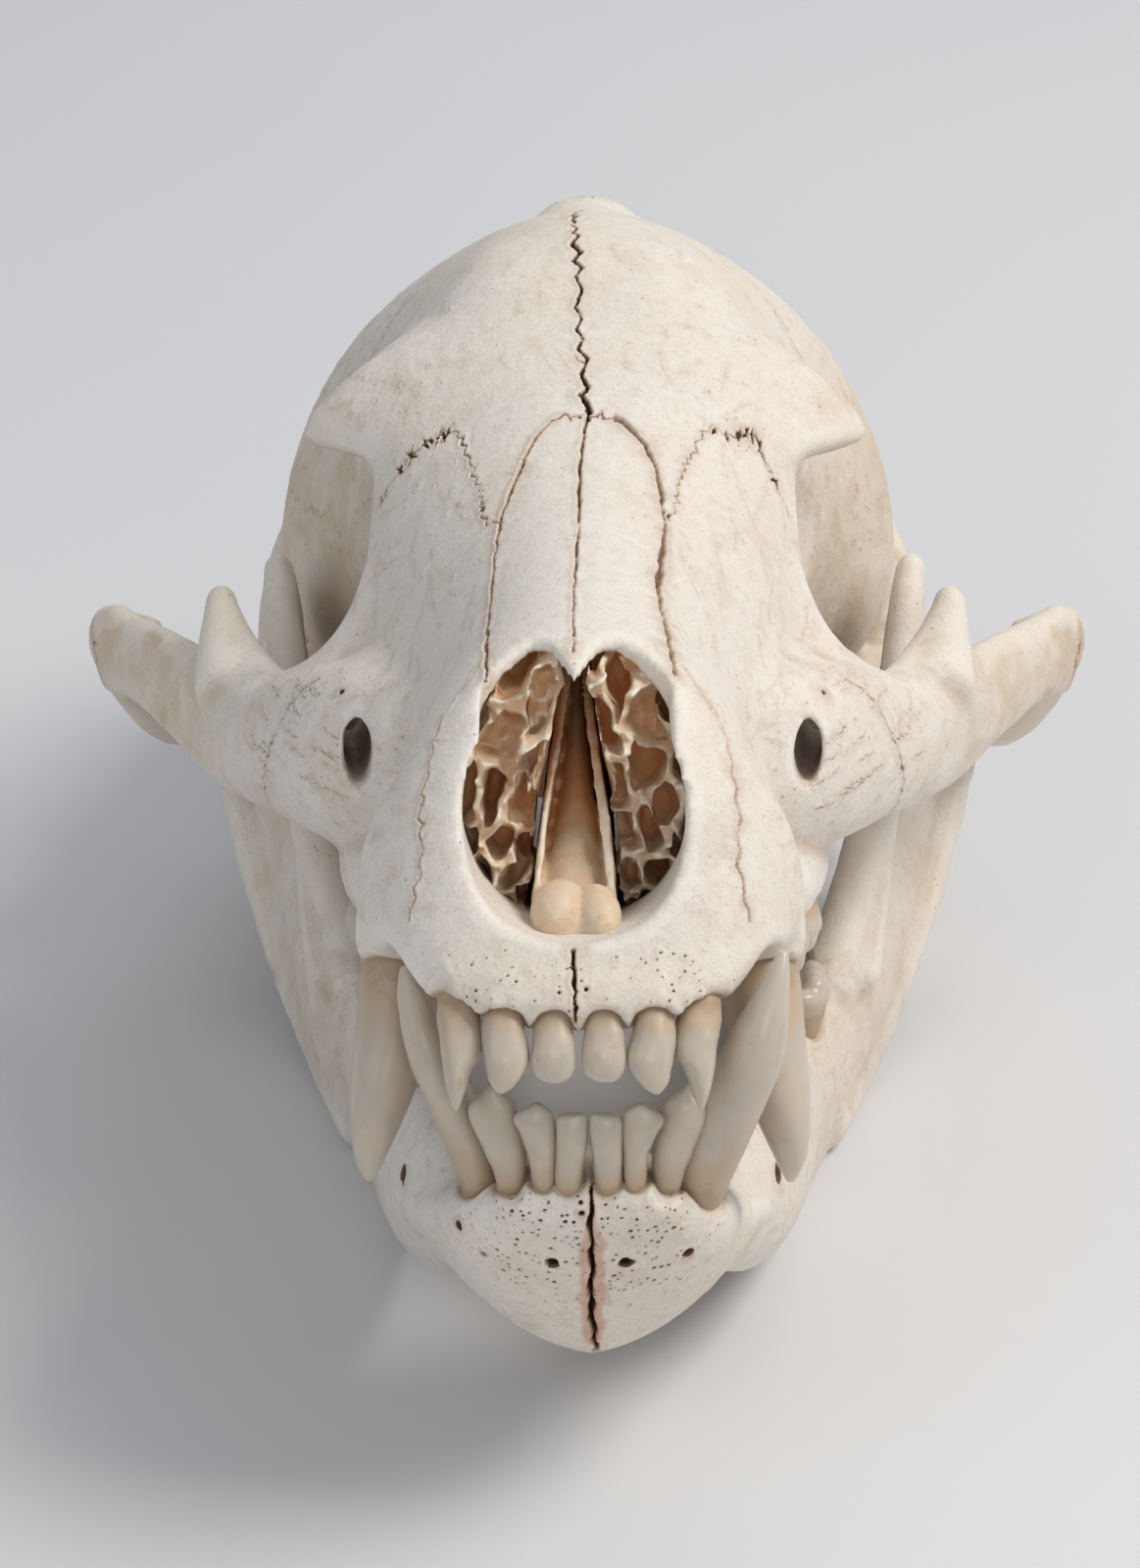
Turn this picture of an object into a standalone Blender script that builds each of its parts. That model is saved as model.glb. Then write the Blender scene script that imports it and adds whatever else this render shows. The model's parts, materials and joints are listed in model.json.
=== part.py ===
"""Skull of a young black bear with its lower jaw, life-size, lying on the jaw's lower edge.

Every bone is modelled in the skull's own frame: millimetres, +X to the animal's left, +Y back
from the front of the upper tooth sockets, +Z up, with the palate level. Two empties then place
them: one tips the cranium nose up, the other also drops the jaw open about its condyles.
"""

from math import copysign, cos, pi, radians, sin

import bmesh
import bpy
import numpy as np
from mathutils import Euler, Matrix, Vector

# Driving dimensions, in millimetres and degrees
APERTURE_HALF_WIDTH = 14.2
NOSE_SHIFT = -0.7
RAMUS_OUT = 43.3
NOSE_UP = 17.1
JAW_OPEN = 4.2
CONDYLE_AXIS = (177.0, 9.0)
JAW_SHIFT = 1.2
MIDDLE = 128.0
FLOOR_LEVEL = -74.9
SUTURE_GAP = 0.4
SYMPHYSIS_GAP = 0.5

# Mesh sizes, in millimetres, and triangle counts
CRANIUM_VOXEL = 1.5
JAW_VOXEL = 1.2
CRANIUM_TRIANGLES = 4300
JAW_TRIANGLES = 1150
RING_POINTS = 40
ROD_POINTS = 14
SPAN_STEPS = 5
TUNNEL_POINTS = 20
TUNNEL_STEPS = 1
TOOTH_SIDES = 7
TOOTH_STEPS = 1
TURBINATE_TRIANGLES = 260
VOMER_TRIANGLES = 320

# Colours of the bones, where they differ
COLOURS = {
    "bone": (0.80, 0.75, 0.68),
    "zygomatic": (0.79, 0.72, 0.63),
    "temporal": (0.76, 0.70, 0.61),
    "vomer": (0.70, 0.56, 0.42),
    "turbinate": (0.66, 0.47, 0.32),
    "mandible": (0.81, 0.77, 0.70),
}

MM = 0.001


def clear_scene():
    for obj in list(bpy.data.objects):
        bpy.data.objects.remove(obj)


def material(name, colour, roughness):
    made = bpy.data.materials.new(name)
    made.use_nodes = True
    shader = made.node_tree.nodes["Principled BSDF"]
    shader.inputs["Base Color"].default_value = (*colour, 1.0)
    shader.inputs["Roughness"].default_value = roughness
    shader.inputs["Metallic"].default_value = 0.0
    made.diffuse_color = (*colour, 1.0)
    return made


# Curves and closed meshes


def through(points, t):
    """A point on the smooth curve through a list of points, at t from 0 to 1."""
    rows = [np.array(p, float) for p in points]
    place = min(max(t, 0.0), 1.0) * (len(rows) - 1)
    i = min(int(place), len(rows) - 2)
    u = place - i
    a, b = rows[max(i - 1, 0)], rows[i]
    c, d = rows[i + 1], rows[min(i + 2, len(rows) - 1)]
    return 0.5 * (
        2 * b + (c - a) * u + (2 * a - 5 * b + 4 * c - d) * u**2 + (3 * b - a - 3 * c + d) * u**3
    )


def power(value, exponent):
    return copysign(abs(value) ** exponent, value)


def closed_mesh(name, rings):
    """A closed mesh over a list of rings of equal length, with a cap at each end."""
    mesh = bpy.data.meshes.new(name)
    bm = bmesh.new()
    rows = [[bm.verts.new(Vector(p) * MM) for p in ring] for ring in rings]
    count = len(rows[0])
    for lower, upper in zip(rows, rows[1:]):
        for i in range(count):
            j = (i + 1) % count
            bm.faces.new((lower[i], lower[j], upper[j], upper[i]))
    bm.faces.new(rows[0])
    bm.faces.new(rows[-1])
    bmesh.ops.recalc_face_normals(bm, faces=bm.faces)
    bm.to_mesh(mesh)
    bm.free()
    return mesh


def section(y, half_width, top, widest, bottom, square=2.0, points=RING_POINTS):
    """One cross-section of the trunk: an oval whose widest level isn't at its middle."""
    ring = []
    for k in range(points):
        angle = 2 * pi * k / points
        reach = top - widest if sin(angle) >= 0 else widest - bottom
        x = half_width * power(cos(angle), 2 / square)
        ring.append((x, y, widest + reach * power(sin(angle), 2 / square)))
    return ring


def trunk(name, stations, steps=SPAN_STEPS, points=RING_POINTS):
    """A body lofted through stations of (y, half width, top, widest level, bottom)."""
    total = steps * (len(stations) - 1)
    rings = [section(*through(stations, k / total), points=points) for k in range(total + 1)]
    return closed_mesh(name, rings)


def rod(name, path, sizes, up=(0, 0, 1), steps=SPAN_STEPS, sides=ROD_POINTS):
    """A bar along a path of points. sizes holds, for each point, half its depth along up and
    half its thickness across."""
    total = steps * (len(path) - 1)
    rings = []
    for k in range(total + 1):
        t = k / total
        here = Vector(through(path, t))
        ahead = Vector(through(path, min(t + 0.01, 1.0))) - Vector(through(path, max(t - 0.01, 0.0)))
        ahead.normalize()
        side = ahead.cross(Vector(up)).normalized()
        rise = side.cross(ahead).normalized()
        depth, thickness = np.maximum(through(sizes, t), 0.15)
        rings.append(
            [
                here
                + rise * (depth * sin(2 * pi * n / sides))
                + side * (thickness * cos(2 * pi * n / sides))
                for n in range(sides)
            ]
        )
    return closed_mesh(name, rings)


def ball(name, centre, radii, turn=(0, 0, 0), rings=12):
    """An ellipsoid. turn is in degrees about X, Y and Z."""
    bm = bmesh.new()
    bmesh.ops.create_uvsphere(bm, u_segments=2 * rings, v_segments=rings, radius=1.0)
    spin = Euler([radians(a) for a in turn]).to_matrix().to_4x4()
    place = Matrix.Translation(Vector(centre) * MM) @ spin
    bmesh.ops.transform(bm, matrix=place @ Matrix.Diagonal((*(Vector(radii) * MM), 1.0)), verts=bm.verts)
    mesh = bpy.data.meshes.new(name)
    bm.to_mesh(mesh)
    bm.free()
    return mesh


def prism(name, outline, low, high, across="X"):
    """A closed outline drawn in the two axes other than across, extruded from low to high."""
    order = {"X": (2, 0, 1), "Y": (0, 2, 1), "Z": (0, 1, 2)}[across]
    rings = []
    for level in (low, high):
        rings.append([tuple((a, b, level)[i] for i in order) for a, b in outline])
    return closed_mesh(name, rings)


def mirrored(mesh):
    """The same mesh on the other side of the midline."""
    copy = mesh.copy()
    copy.transform(Matrix.Scale(-1, 4, Vector((1, 0, 0))))
    copy.flip_normals()
    return copy


def both_sides(mesh):
    return [mesh, mirrored(mesh)]


def shifted(mesh, x):
    mesh.transform(Matrix.Translation((x * MM, 0, 0)))
    return mesh


def column(name, outline, floor, slope, roof=130):
    """An outline drawn in X and Y, raised from a floor that slopes along Y up to a level roof."""
    low = [(x, y, floor + slope * y) for x, y in outline]
    high = [(x, y, roof) for x, y in outline]
    return closed_mesh(name, [low, high])


def two_sided(half):
    """The closed outline, symmetric about the midline, whose right half is given front to back."""
    return half + [(-x, y) for x, y in reversed(half)]


# Modelling steps on objects


def add_object(name, mesh):
    obj = bpy.data.objects.new(name, mesh)
    bpy.context.scene.collection.objects.link(obj)
    return obj


def applied(obj):
    """Replaces an object's mesh by what its modifiers make of it."""
    graph = bpy.context.evaluated_depsgraph_get()
    mesh = bpy.data.meshes.new_from_object(obj.evaluated_get(graph))
    obj.modifiers.clear()
    obj.data = mesh
    return obj


def joined(name, meshes):
    """One object that holds the faces of several meshes."""
    bm = bmesh.new()
    for mesh in meshes:
        bm.from_mesh(mesh)
    mesh = bpy.data.meshes.new(name)
    bm.to_mesh(mesh)
    bm.free()
    return add_object(name, mesh)


def remesh(obj, voxel, smooth):
    """Fuses what overlaps into one skin and rounds its creases."""
    skin = obj.modifiers.new("skin", "REMESH")
    skin.mode = "VOXEL"
    skin.voxel_size = voxel * MM
    relax = obj.modifiers.new("relax", "SMOOTH")
    relax.factor = 0.5
    relax.iterations = smooth
    return applied(obj)


def boolean(obj, meshes, operation, solver="MANIFOLD"):
    """Joins or cuts meshes to or from an object, and removes them."""
    group = bpy.data.collections.new("operands")
    bpy.context.scene.collection.children.link(group)
    for mesh in meshes:
        group.objects.link(bpy.data.objects.new("operand", mesh))
    step = obj.modifiers.new("boolean", "BOOLEAN")
    step.operand_type = "COLLECTION"
    step.collection = group
    step.operation = operation
    step.solver = solver
    applied(obj)
    for operand in list(group.objects):
        bpy.data.objects.remove(operand)
    bpy.data.collections.remove(group)
    return obj


def press(obj, strokes):
    """Pushes the surface about. Each stroke is a centre, its reach along X, Y and Z, and a
    push, and acts on both sides of the midline."""
    count = len(obj.data.vertices)
    points = np.empty(count * 3)
    obj.data.vertices.foreach_get("co", points)
    points = points.reshape(-1, 3) / MM
    for centre, reach, push in strokes:
        for side in (1, -1):
            flip = np.array([side, 1, 1])
            away = (points - np.array(centre) * flip) / np.array(reach)
            weight = np.clip(1 - (away**2).sum(1), 0, 1) ** 2
            if side < 0 and centre[0] == 0:
                continue
            points += weight[:, None] * np.array(push) * flip
    obj.data.vertices.foreach_set("co", (points * MM).ravel())
    obj.data.update()


def thinned(obj, triangles):
    """Collapses a surface to about this many triangles."""
    faces = sum(len(p.vertices) - 2 for p in obj.data.polygons)
    step = obj.modifiers.new("thin", "DECIMATE")
    step.ratio = triangles / faces
    return applied(obj)


def largest_body(obj):
    """Keeps the largest closed surface of an object."""
    bm = bmesh.new()
    bm.from_mesh(obj.data)
    bmesh.ops.triangulate(bm, faces=bm.faces)
    left = set(bm.faces)
    bodies = []
    while left:
        stack = [left.pop()]
        body = set(stack)
        while stack:
            for edge in stack.pop().edges:
                for face in edge.link_faces:
                    if face in left:
                        left.remove(face)
                        body.add(face)
                        stack.append(face)
        bodies.append(body)

    def volume(body):
        return sum(f.verts[0].co.dot(f.verts[1].co.cross(f.verts[2].co)) for f in body)

    keep = max(bodies, key=volume)
    bmesh.ops.delete(bm, geom=[f for f in bm.faces if f not in keep], context="FACES")
    bm.to_mesh(obj.data)
    bm.free()
    return obj


def grown(mesh, gap):
    """A copy of a territory, pushed out by a gap all round."""
    copy = mesh.copy()
    bm = bmesh.new()
    bm.from_mesh(copy)
    bm.normal_update()
    moves = [v.normal * v.calc_shell_factor() * gap * MM for v in bm.verts]
    for vert, move in zip(bm.verts, moves):
        vert.co += move
    bm.to_mesh(copy)
    bm.free()
    return copy


def part_off(source, name, territory):
    """Parts the bone inside a territory from the source, with a suture's gap between them."""
    bone = add_object(name, source.data.copy())
    boolean(bone, [territory.copy()], "INTERSECT")
    boolean(source, [grown(territory, SUTURE_GAP)], "DIFFERENCE")
    largest_body(source)
    return largest_body(bone)


def halved(source, name, gap):
    """Parts a bone at the midline into its left and right halves, and removes the source."""
    halves = []
    for side, word in ((1, "left"), (-1, "right")):
        half = add_object(f"{name}_{word}", source.data.copy())
        near, far = sorted((side * gap / 2, side * 200.0))
        outline = [(-60, -150), (320, -150), (320, 200), (-60, 200)]
        boolean(half, [prism("half", outline, near, far)], "INTERSECT")
        halves.append(largest_body(half))
    bpy.data.objects.remove(source)
    return halves


# The cranium

# Stations of the face and of the braincase: y, half width, top, widest level, bottom
FACE = [
    (-1, 11, 4, 1.5, -1),
    (3, 17.5, 9.5, 3.5, -1.5),
    (9, 22.5, 22.5, 6, -1),
    (16, 26, 35, 8, 0),
    (23, 27.5, 42.5, 9, 1),
    (34, 26, 47.5, 10, 1),
    (47, 24, 51.5, 12, 1),
    (62, 26, 58, 16, 1),
    (76, 30, 64, 24, 2),
    (90, 31, 71, 40, 4),
    (102, 31, 79.5, 54, 8),
    (112, 31, 86, 60, 12),
]
SHIELD = [
    (94, 24, 73, 62, 55, 1.7),
    (100, 30, 78.5, 63, 56, 1.6),
    (106, 36, 82.5, 64, 58, 1.5),
    (112, 41, 86, 64.5, 58.5, 1.5),
    (117, 40, 88, 65, 59, 1.5),
    (123, 35.5, 90.5, 65, 58, 1.6),
    (132, 33, 93.5, 63, 56, 1.8),
    (142, 33, 95, 60, 50, 2),
]
BRAINCASE = [
    (100, 24, 76, 58, 20),
    (112, 30, 87, 62, 14),
    (126, 31.5, 93, 60, 12),
    (140, 34.5, 96, 52, 10),
    (154, 39.5, 96, 47, 9),
    (164, 45, 95, 43, 9),
    (175, 48.5, 93.5, 41, 9),
    (190, 48.5, 91, 40, 9),
    (206, 46, 86, 38, 8),
    (221, 42.5, 79, 36, 7),
    (233, 37, 71, 34, 8),
    (240, 29, 63, 33, 13),
]
ARCH_FRONT = [
    (21, 62, 24.5),
    (32, 76, 23.5),
    (42, 91, 22.4),
    (50.5, 107, 22),
    (58.5, 122, 26),
    (66, 135, 29),
    (70.5, 145, 29.2),
    (72.4, 151, 29),
]
ARCH_FRONT_SIZES = [(11, 7), (13, 8.5), (10, 6.4), (8.7, 4.6), (8.2, 4), (6.9, 3.8), (6.8, 3.4), (7.0, 3.0)]
ARCH_BACK = [(70, 139, 36), (73, 149, 32), (71.5, 160, 26), (66, 171, 18.5), (57, 182, 15.5), (44, 190, 18)]
ARCH_BACK_SIZES = [(1.4, 2), (4.4, 3.4), (5.6, 3.8), (6.4, 5), (7, 9), (8, 10)]


def cranium_trunk():
    """The face and braincase without the arches, hollowed for the eyes."""
    alveolar = [(23, 22, 6), (22, 42, 6), (24, 60, 6), (27.5, 78, 7), (28, 98, 8), (25, 117, 10)]
    pieces = [
        trunk("face", FACE),
        trunk("braincase", BRAINCASE),
        *both_sides(rod("alveolar", alveolar, [(6, 6), (6, 5.5), (6, 6), (7, 6.5), (7, 6.5), (5, 4)])),
        *both_sides(ball("zygoma_root", (29, 77, 24), (9, 13, 14))),
    ]
    obj = joined("cranium", pieces)
    remesh(obj, CRANIUM_VOXEL, 8)
    sockets = both_sides(ball("socket", (46.5, 117, 47), (23.5, 28, 22), rings=20))
    return boolean(obj, sockets, "DIFFERENCE")


def cranium_pieces():
    """What grows from the trunk: arches, crests, processes and condyles."""
    nuchal = [(50, 207, 17), (49, 216, 36), (38, 230, 55), (18, 240, 65), (0, 243, 68)]
    nuchal_sizes = [(4, 5), (3.4, 5), (3.4, 5), (4, 5), (4.5, 6)]
    jugal_process = [(50.5, 107, 28), (52.4, 112.5, 34.5), (53.3, 117, 42.4)]
    jugal_end = [(71.6, 150, 22.5), (71.9, 150.5, 29), (71.2, 149.5, 36.5)]
    edge = [(51.8, 114, 39), (48.8, 109.5, 33.6), (44.4, 101, 29.6), (39.8, 95, 29.8), (35.6, 90, 33.6)]
    hump = [(66.5, 143.5, 30), (66.2, 143, 35.2)]
    rim = [(41, 90.5, 28), (34.5, 88.5, 31.5), (29, 88.5, 39), (26.5, 91, 48)]
    pterygoid = [(12, 112, 9), (11.5, 130, 8), (11.5, 148, 6), (12, 158, 0)]
    crest = [(0, 152, 94.5), (0, 160, 95), (0, 180, 93), (0, 205, 86.5), (0, 242, 68)]
    mastoid = [(46, 206, 24), (48, 206, 10), (48.5, 204, -1)]
    paroccipital = [(28, 222, 16), (29, 223, 6), (30, 223, -3)]
    ear_tube = [(30, 197, 10), (42, 196, 12), (50, 195, 13)]
    along = (0, 1, 0)
    return [
        trunk("shield", SHIELD),
        *both_sides(rod("arch_front", ARCH_FRONT, ARCH_FRONT_SIZES)),
        *both_sides(rod("arch_back", ARCH_BACK, ARCH_BACK_SIZES)),
        *both_sides(rod("jugal_process", jugal_process, [(7, 6.4), (4.4, 3.9), (2.7, 2.3)], up=along)),
        *both_sides(rod("jugal_end", jugal_end, [(3.2, 2.6), (3.6, 3.0), (2.6, 2.2)], up=along)),
        *both_sides(rod("jugal_hump", hump, [(3.4, 2.8), (2.6, 2.2)], up=along)),
        *both_sides(rod("orbital_edge", edge, [(2, 2), (2.6, 2.8), (3, 3.2), (3, 3.2), (3, 3)])),
        *both_sides(rod("orbital_rim", rim, [(5.5, 5.5), (6.5, 5.5), (5.5, 5), (4.5, 4.2)], up=along)),
        *both_sides(rod("nuchal_crest", nuchal, nuchal_sizes, up=(0, -0.4, 1))),
        rod("sagittal_crest", crest, [(2, 6), (3.2, 7), (3, 5), (3, 4), (4, 4)]),
        *both_sides(ball("condyle", (12.5, 239, 14), (9, 8.5, 8.5))),
        *both_sides(rod("mastoid", mastoid, [(8, 8), (7, 6), (3, 3)], up=along)),
        *both_sides(rod("paroccipital", paroccipital, [(6, 6), (4, 4), (2, 2)], up=along)),
        *both_sides(ball("bulla", (27, 196, 9), (14, 14, 7))),
        *both_sides(rod("ear_tube", ear_tube, [(6, 6), (6, 6), (5.5, 5.5)])),
        *both_sides(ball("postglenoid", (49, 187, 7), (12, 3.2, 6.5))),
        *both_sides(rod("pterygoid", pterygoid, [(6, 2.4), (6, 2), (5.5, 2), (2, 1.5)])),
        ball("basicranium", (0, 185, 12), (17, 55, 9)),
    ]


CRANIUM_STROKES = [
    # hollow each side of the snout behind the canine bulge
    ((27, 46, 24), (10, 18, 16), (-2.0, 0, 0)),
    # canine root swelling
    ((27, 27, 16), (9, 12, 16), (1.6, 0, 0)),
    # notch behind the outer incisor, where the lower canine's tip lies
    ((22.5, 14, 2), (6.5, 8, 8), (0, 1.0, 3.4)),
    # flat of the forehead between the brows, with a dip at the midline
    ((0, 104, 84), (16, 26, 16), (0, 0, -1.2)),
    ((18, 122, 92), (14, 20, 14), (0, 0, 1.2)),
    # flat sides of the braincase behind the brows
    ((44, 140, 66), (16, 18, 18), (-1.0, 0, 0)),
]


def nasal_tunnel():
    """The nasal passage from the aperture to the choanae, as one cutter."""
    half = APERTURE_HALF_WIDTH
    stations = [
        (-12, half - 1.5, 30, 19, 7, 2.2),
        (4, half - 1, 34, 20, 9.6, 2.2),
        (16, half, 37.4, 25, 9.9, 2.2),
        (27, half + 0.6, 42.6, 26, 9, 2.2),
        (34, half + 0.6, 45, 26, 8.2, 2.2),
        (47, half + 0.4, 48.2, 26, 7, 2.2),
        (66, half - 0.4, 50, 25, 6.5, 2.2),
        (84, half - 3, 38, 20, 6, 2.2),
        (104, 10, 24, 13, 5, 2.2),
        (124, 9, 15, 9, 1, 2.2),
        (146, 9, 11, 4, -6, 2.2),
        (158, 9, 8, 0, -12, 2.2),
    ]
    return shifted(trunk("nasal_tunnel", stations, steps=TUNNEL_STEPS, points=TUNNEL_POINTS), NOSE_SHIFT)


def nasal_scallops():
    """What is cut from above out of the nasals' front ends: a lobe each side of the midline."""
    half = [(0, 19.8), (1, 21.2), (2.4, 23.6), (3.8, 25.6), (5.2, 26.4), (7.2, 26.2), (9.2, 25.4), (12, 24.4)]
    edge = [*half, (12.2, -20)]
    outline = [(-x, y) for x, y in reversed(edge[1:])] + edge
    return shifted(prism("scallops", outline, 30, 70, "Z"), NOSE_SHIFT)


def cranium(voxel, triangles):
    """The whole cranium, hollowed but not yet parted into bones."""
    whole = cranium_trunk()
    skin = joined("cranium", [whole.data, *cranium_pieces()])
    bpy.data.objects.remove(whole)
    remesh(skin, voxel, 7)
    press(skin, CRANIUM_STROKES)
    thinned(skin, triangles)
    infraorbital = rod("infraorbital", [(29.6, 44, 24.3), (30.3, 62, 25.3), (32, 80, 27.3), (35, 100, 32)],
                       [(4.6, 1.9), (4.6, 1.9), (4.6, 2.2), (4.6, 2.4)], sides=10, steps=1)
    ear = rod("ear", [(34, 196, 12), (46, 195, 13), (64, 194, 14)], [(2.6, 2.6), (3.2, 3.2), (3.6, 3.6)],
              sides=8, steps=1)
    magnum = rod("magnum", [(0, 216, 22), (0, 234, 23), (0, 256, 22)], [(8, 9.5), (9, 11), (10, 12)],
                 sides=14, steps=1)
    fossa = rod("fossa", [(32, *CONDYLE_AXIS), (66, *CONDYLE_AXIS)],
                [(5.6, 5.6), (5.6, 5.6)], sides=14, steps=1)
    boolean(skin, [nasal_tunnel()], "DIFFERENCE")
    boolean(skin, [*both_sides(infraorbital), *both_sides(ear), magnum, *both_sides(fossa)], "DIFFERENCE")
    boolean(skin, [nasal_scallops()], "DIFFERENCE")
    return largest_body(skin)


# The lower jaw, closed: its halves meet at the midline

# Stations of the chin: y, half width, top, widest level, bottom
CHIN = [
    (4.5, 12, -9.5, -11.5, -14, 2),
    (9, 17, -8.5, -13, -21, 2),
    (16, 20.5, -8.5, -14, -30, 1.85),
    (24, 21, -9.5, -17, -36, 1.75),
    (32, 20.5, -12, -20, -39, 1.6),
    (42, 20.5, -15, -24, -39.5, 1.5),
    (50, 20.5, -20, -27, -39, 1.5),
]
JAW_BODY = [
    (14, 30, -21),
    (15.5, 45, -21.5),
    (18.5, 62, -22.8),
    (23, 80, -24),
    (27.5, 98, -24.5),
    (33, 116, -23.5),
    (38, 132, -19),
    (42, 148, -14),
]
JAW_BODY_SIZES = [(8.5, 5.5), (9.6, 6), (10.8, 6.2), (12.5, 6), (13.7, 6), (13.2, 5.6), (12, 4.2), (10, 2.5)]
RAMUS = [
    (120, -12),
    (132, 4),
    (140, 22),
    (145, 36),
    (150, 42.5),
    (158, 43),
    (163, 38),
    (166, 30),
    (170, 17),
    (175, 11),
    (181, 7),
    (182.5, -4),
    (185, -14),
    (185.5, -20),
    (181, -23),
    (174, -21.5),
    (166, -19.5),
    (157, -21),
    (142, -27),
    (128, -32),
]
FRONT_EDGE = [(34.3, 118, -14), (40.4, 131, 2), (44.8, 140, 20), (47.5, 147, 37), (48.4, 152, 42.4)]
FRONT_EDGE_SIZES = [(5, 4.5), (4.2, 4), (3.6, 3.4), (3.2, 2.8), (2.4, 2.2)]
LOWER_RIDGE = [
    (33, 114, -33),
    (39.8, 132, -28.5),
    (46.5, 149, -19.5),
    (51.5, 161, -10),
    (55, 170, -1),
    (57, 176, 5),
]
LOWER_RIDGE_SIZES = [(5, 5), (5, 3.4), (4.4, 3), (4, 3), (3.8, 3), (3.4, 3)]
RIDGE_WEB = [(37.5, 122, -22), (42.5, 138, -16), (46.5, 152, -8), (50, 164, 0), (52.5, 174, 6)]
JAW_STROKES = [
    # masseter hollow on the outside of the ramus
    ((50, 150, 2), (10, 17, 16), (-1.6, 0, 0)),
    # bulge over the root of each lower canine
    ((19, 16, -18), (8, 10, 12), (0.8, -0.8, 0)),
]


def ramus():
    """The upright plate behind the teeth, bowed outward as it rises."""
    plate = prism("ramus", RAMUS, -2.4, 2.4)
    count = len(plate.vertices)
    points = np.empty(count * 3)
    plate.vertices.foreach_get("co", points)
    points = points.reshape(-1, 3) / MM
    points[:, 0] += RAMUS_OUT + 0.05 * (points[:, 1] - 150) + 0.11 * points[:, 2]
    plate.vertices.foreach_set("co", (points * MM).ravel())
    return plate


def jaw(voxel, triangles):
    """The lower jaw in one piece, closed."""
    angular = [(42, 164, -18), (43.5, 176, -18.5), (44.5, 184, -19)]
    pieces = [
        trunk("chin", CHIN),
        *both_sides(rod("jaw_body", JAW_BODY, JAW_BODY_SIZES)),
        *both_sides(ramus()),
        *both_sides(ball("coronoid", (48.5, 154.5, 42.6), (2.5, 5, 3.6))),
        *both_sides(rod("front_edge", FRONT_EDGE, FRONT_EDGE_SIZES)),
        *both_sides(rod("lower_ridge", LOWER_RIDGE, LOWER_RIDGE_SIZES)),
        *both_sides(rod("ridge_web", RIDGE_WEB, [(9, 3.4), (10.5, 3.2), (10.5, 3.0), (8, 2.6), (5, 2.6)])),
        *both_sides(rod("angular", angular, [(3.5, 5), (3.4, 4), (2.6, 3)])),
        *both_sides(rod("jaw_condyle", [(37, *CONDYLE_AXIS), (48, *CONDYLE_AXIS), (60.5, *CONDYLE_AXIS)],
                        [(3.6, 3.6), (4.8, 4.8), (3.4, 3.4)])),
        *both_sides(rod("neck", [(47, 177, 6), (46.5, 176, -4), (44, 172, -14)], [(4, 7), (4, 5), (4, 3)],
                        up=(0, 1, 0))),
    ]
    obj = joined("jaw", pieces)
    remesh(obj, voxel, 6)
    press(obj, JAW_STROKES)
    thinned(obj, triangles)
    return largest_body(obj)


# Teeth. Each is a loop of rings from deep in its socket to the tip of its crown.


def upper_incisors(side):
    """The three upper incisors of one side."""
    rows = [
        # x at the neck, x at the tip, y at the neck, y at the tip, tip, half width, half depth
        (3.1, 3.2, 3.6, 2.4, -7.0, 2.75, 2.8),
        (8.9, 9.2, 4.6, 3.4, -8.3, 2.75, 2.9),
        (14.9, 15.2, 7.8, 5.0, -10.9, 2.8, 3.6),
    ]
    teeth = []
    for x0, x1, y0, y1, tip, wide, deep in rows:
        path = [
            (x0 * 0.97, y0 + 1.5, 7),
            (x0, y0, 1.5),
            ((x0 + x1) / 2, (y0 + y1) / 2 - 0.7, tip * 0.45),
            (x1, y1 - 0.5, tip * 0.8),
            (x1, y1, tip),
        ]
        crown = [(deep, wide * 0.84), (deep * 0.95, wide), (deep * 0.55, wide * 0.82), (0.5, wide * 0.4)]
        sizes = [(1.8, 1.4), *crown]
        teeth.append(tooth(path, sizes, side))
    return teeth


def lower_incisors(side):
    """The three lower incisors of one side."""
    rows = [
        (2.4, 2.2, 8.5, 5.8, 0.9, 1.85, 2.6),
        (5.8, 6.7, 9.5, 6.4, 1.6, 2.4, 2.9),
        (9.8, 12.0, 11.5, 8.0, 3.0, 2.8, 3.1),
    ]
    teeth = []
    for x0, x1, y0, y1, tip, wide, deep in rows:
        path = [
            (x0 * 0.9, y0 + 4, -19),
            (x0, y0, -11),
            ((x0 * 0.4 + x1 * 0.6), (y0 + y1) / 2 - 0.4, -4.4),
            (x1, y1 - 0.2, tip - 2.0),
            (x1, y1 + 0.2, tip),
        ]
        crown = [(deep * 0.9, wide * 0.62), (deep, wide * 0.9), (deep * 0.7, wide), (0.7, wide * 0.7)]
        sizes = [(1.5, 1.2), *crown]
        teeth.append(tooth(path, sizes, side))
    return teeth


def canine(side, upper):
    """One canine, curved back toward its tip. The lower left one stands taller."""
    if upper:
        path = [
            (21.5, 38, 16),
            (23.2, 29, 4),
            (24.8, 23.5, -6),
            (26.4, 21, -14),
            (27.2, 21.3, -20.6),
            (27.0, 22.4, -24.4),
        ]
        sizes = [(4, 3.4), (7.6, 6.0), (7.0, 5.6), (5.2, 4.2), (2.8, 2.4), (0.6, 0.6)]
    else:
        tall, lean, back = (0.95, -0.9, 4.5) if side < 0 else (1.14, 0.0, 0.0)
        path = [
            (12.4, 26 + 0.2 * back, -24),
            (14.4, 16.5 + 0.4 * back, -12),
            (17.8, 10.0 + 0.8 * back, -2 * tall),
            (21.4 + lean, 7.0 + back, 7 * tall),
            (23.8 + 2 * lean, 7.0 + 1.1 * back, 14 * tall),
            (24.8 + 2.2 * lean, 7.8 + 1.2 * back, 18 * tall),
        ]
        sizes = [(4, 3.4), (6.0, 4.9), (5.3, 4.5), (4.1, 3.5), (2.4, 2.0), (0.6, 0.6)]
    return tooth(path, sizes, side, steps=1, sides=9)


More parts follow.
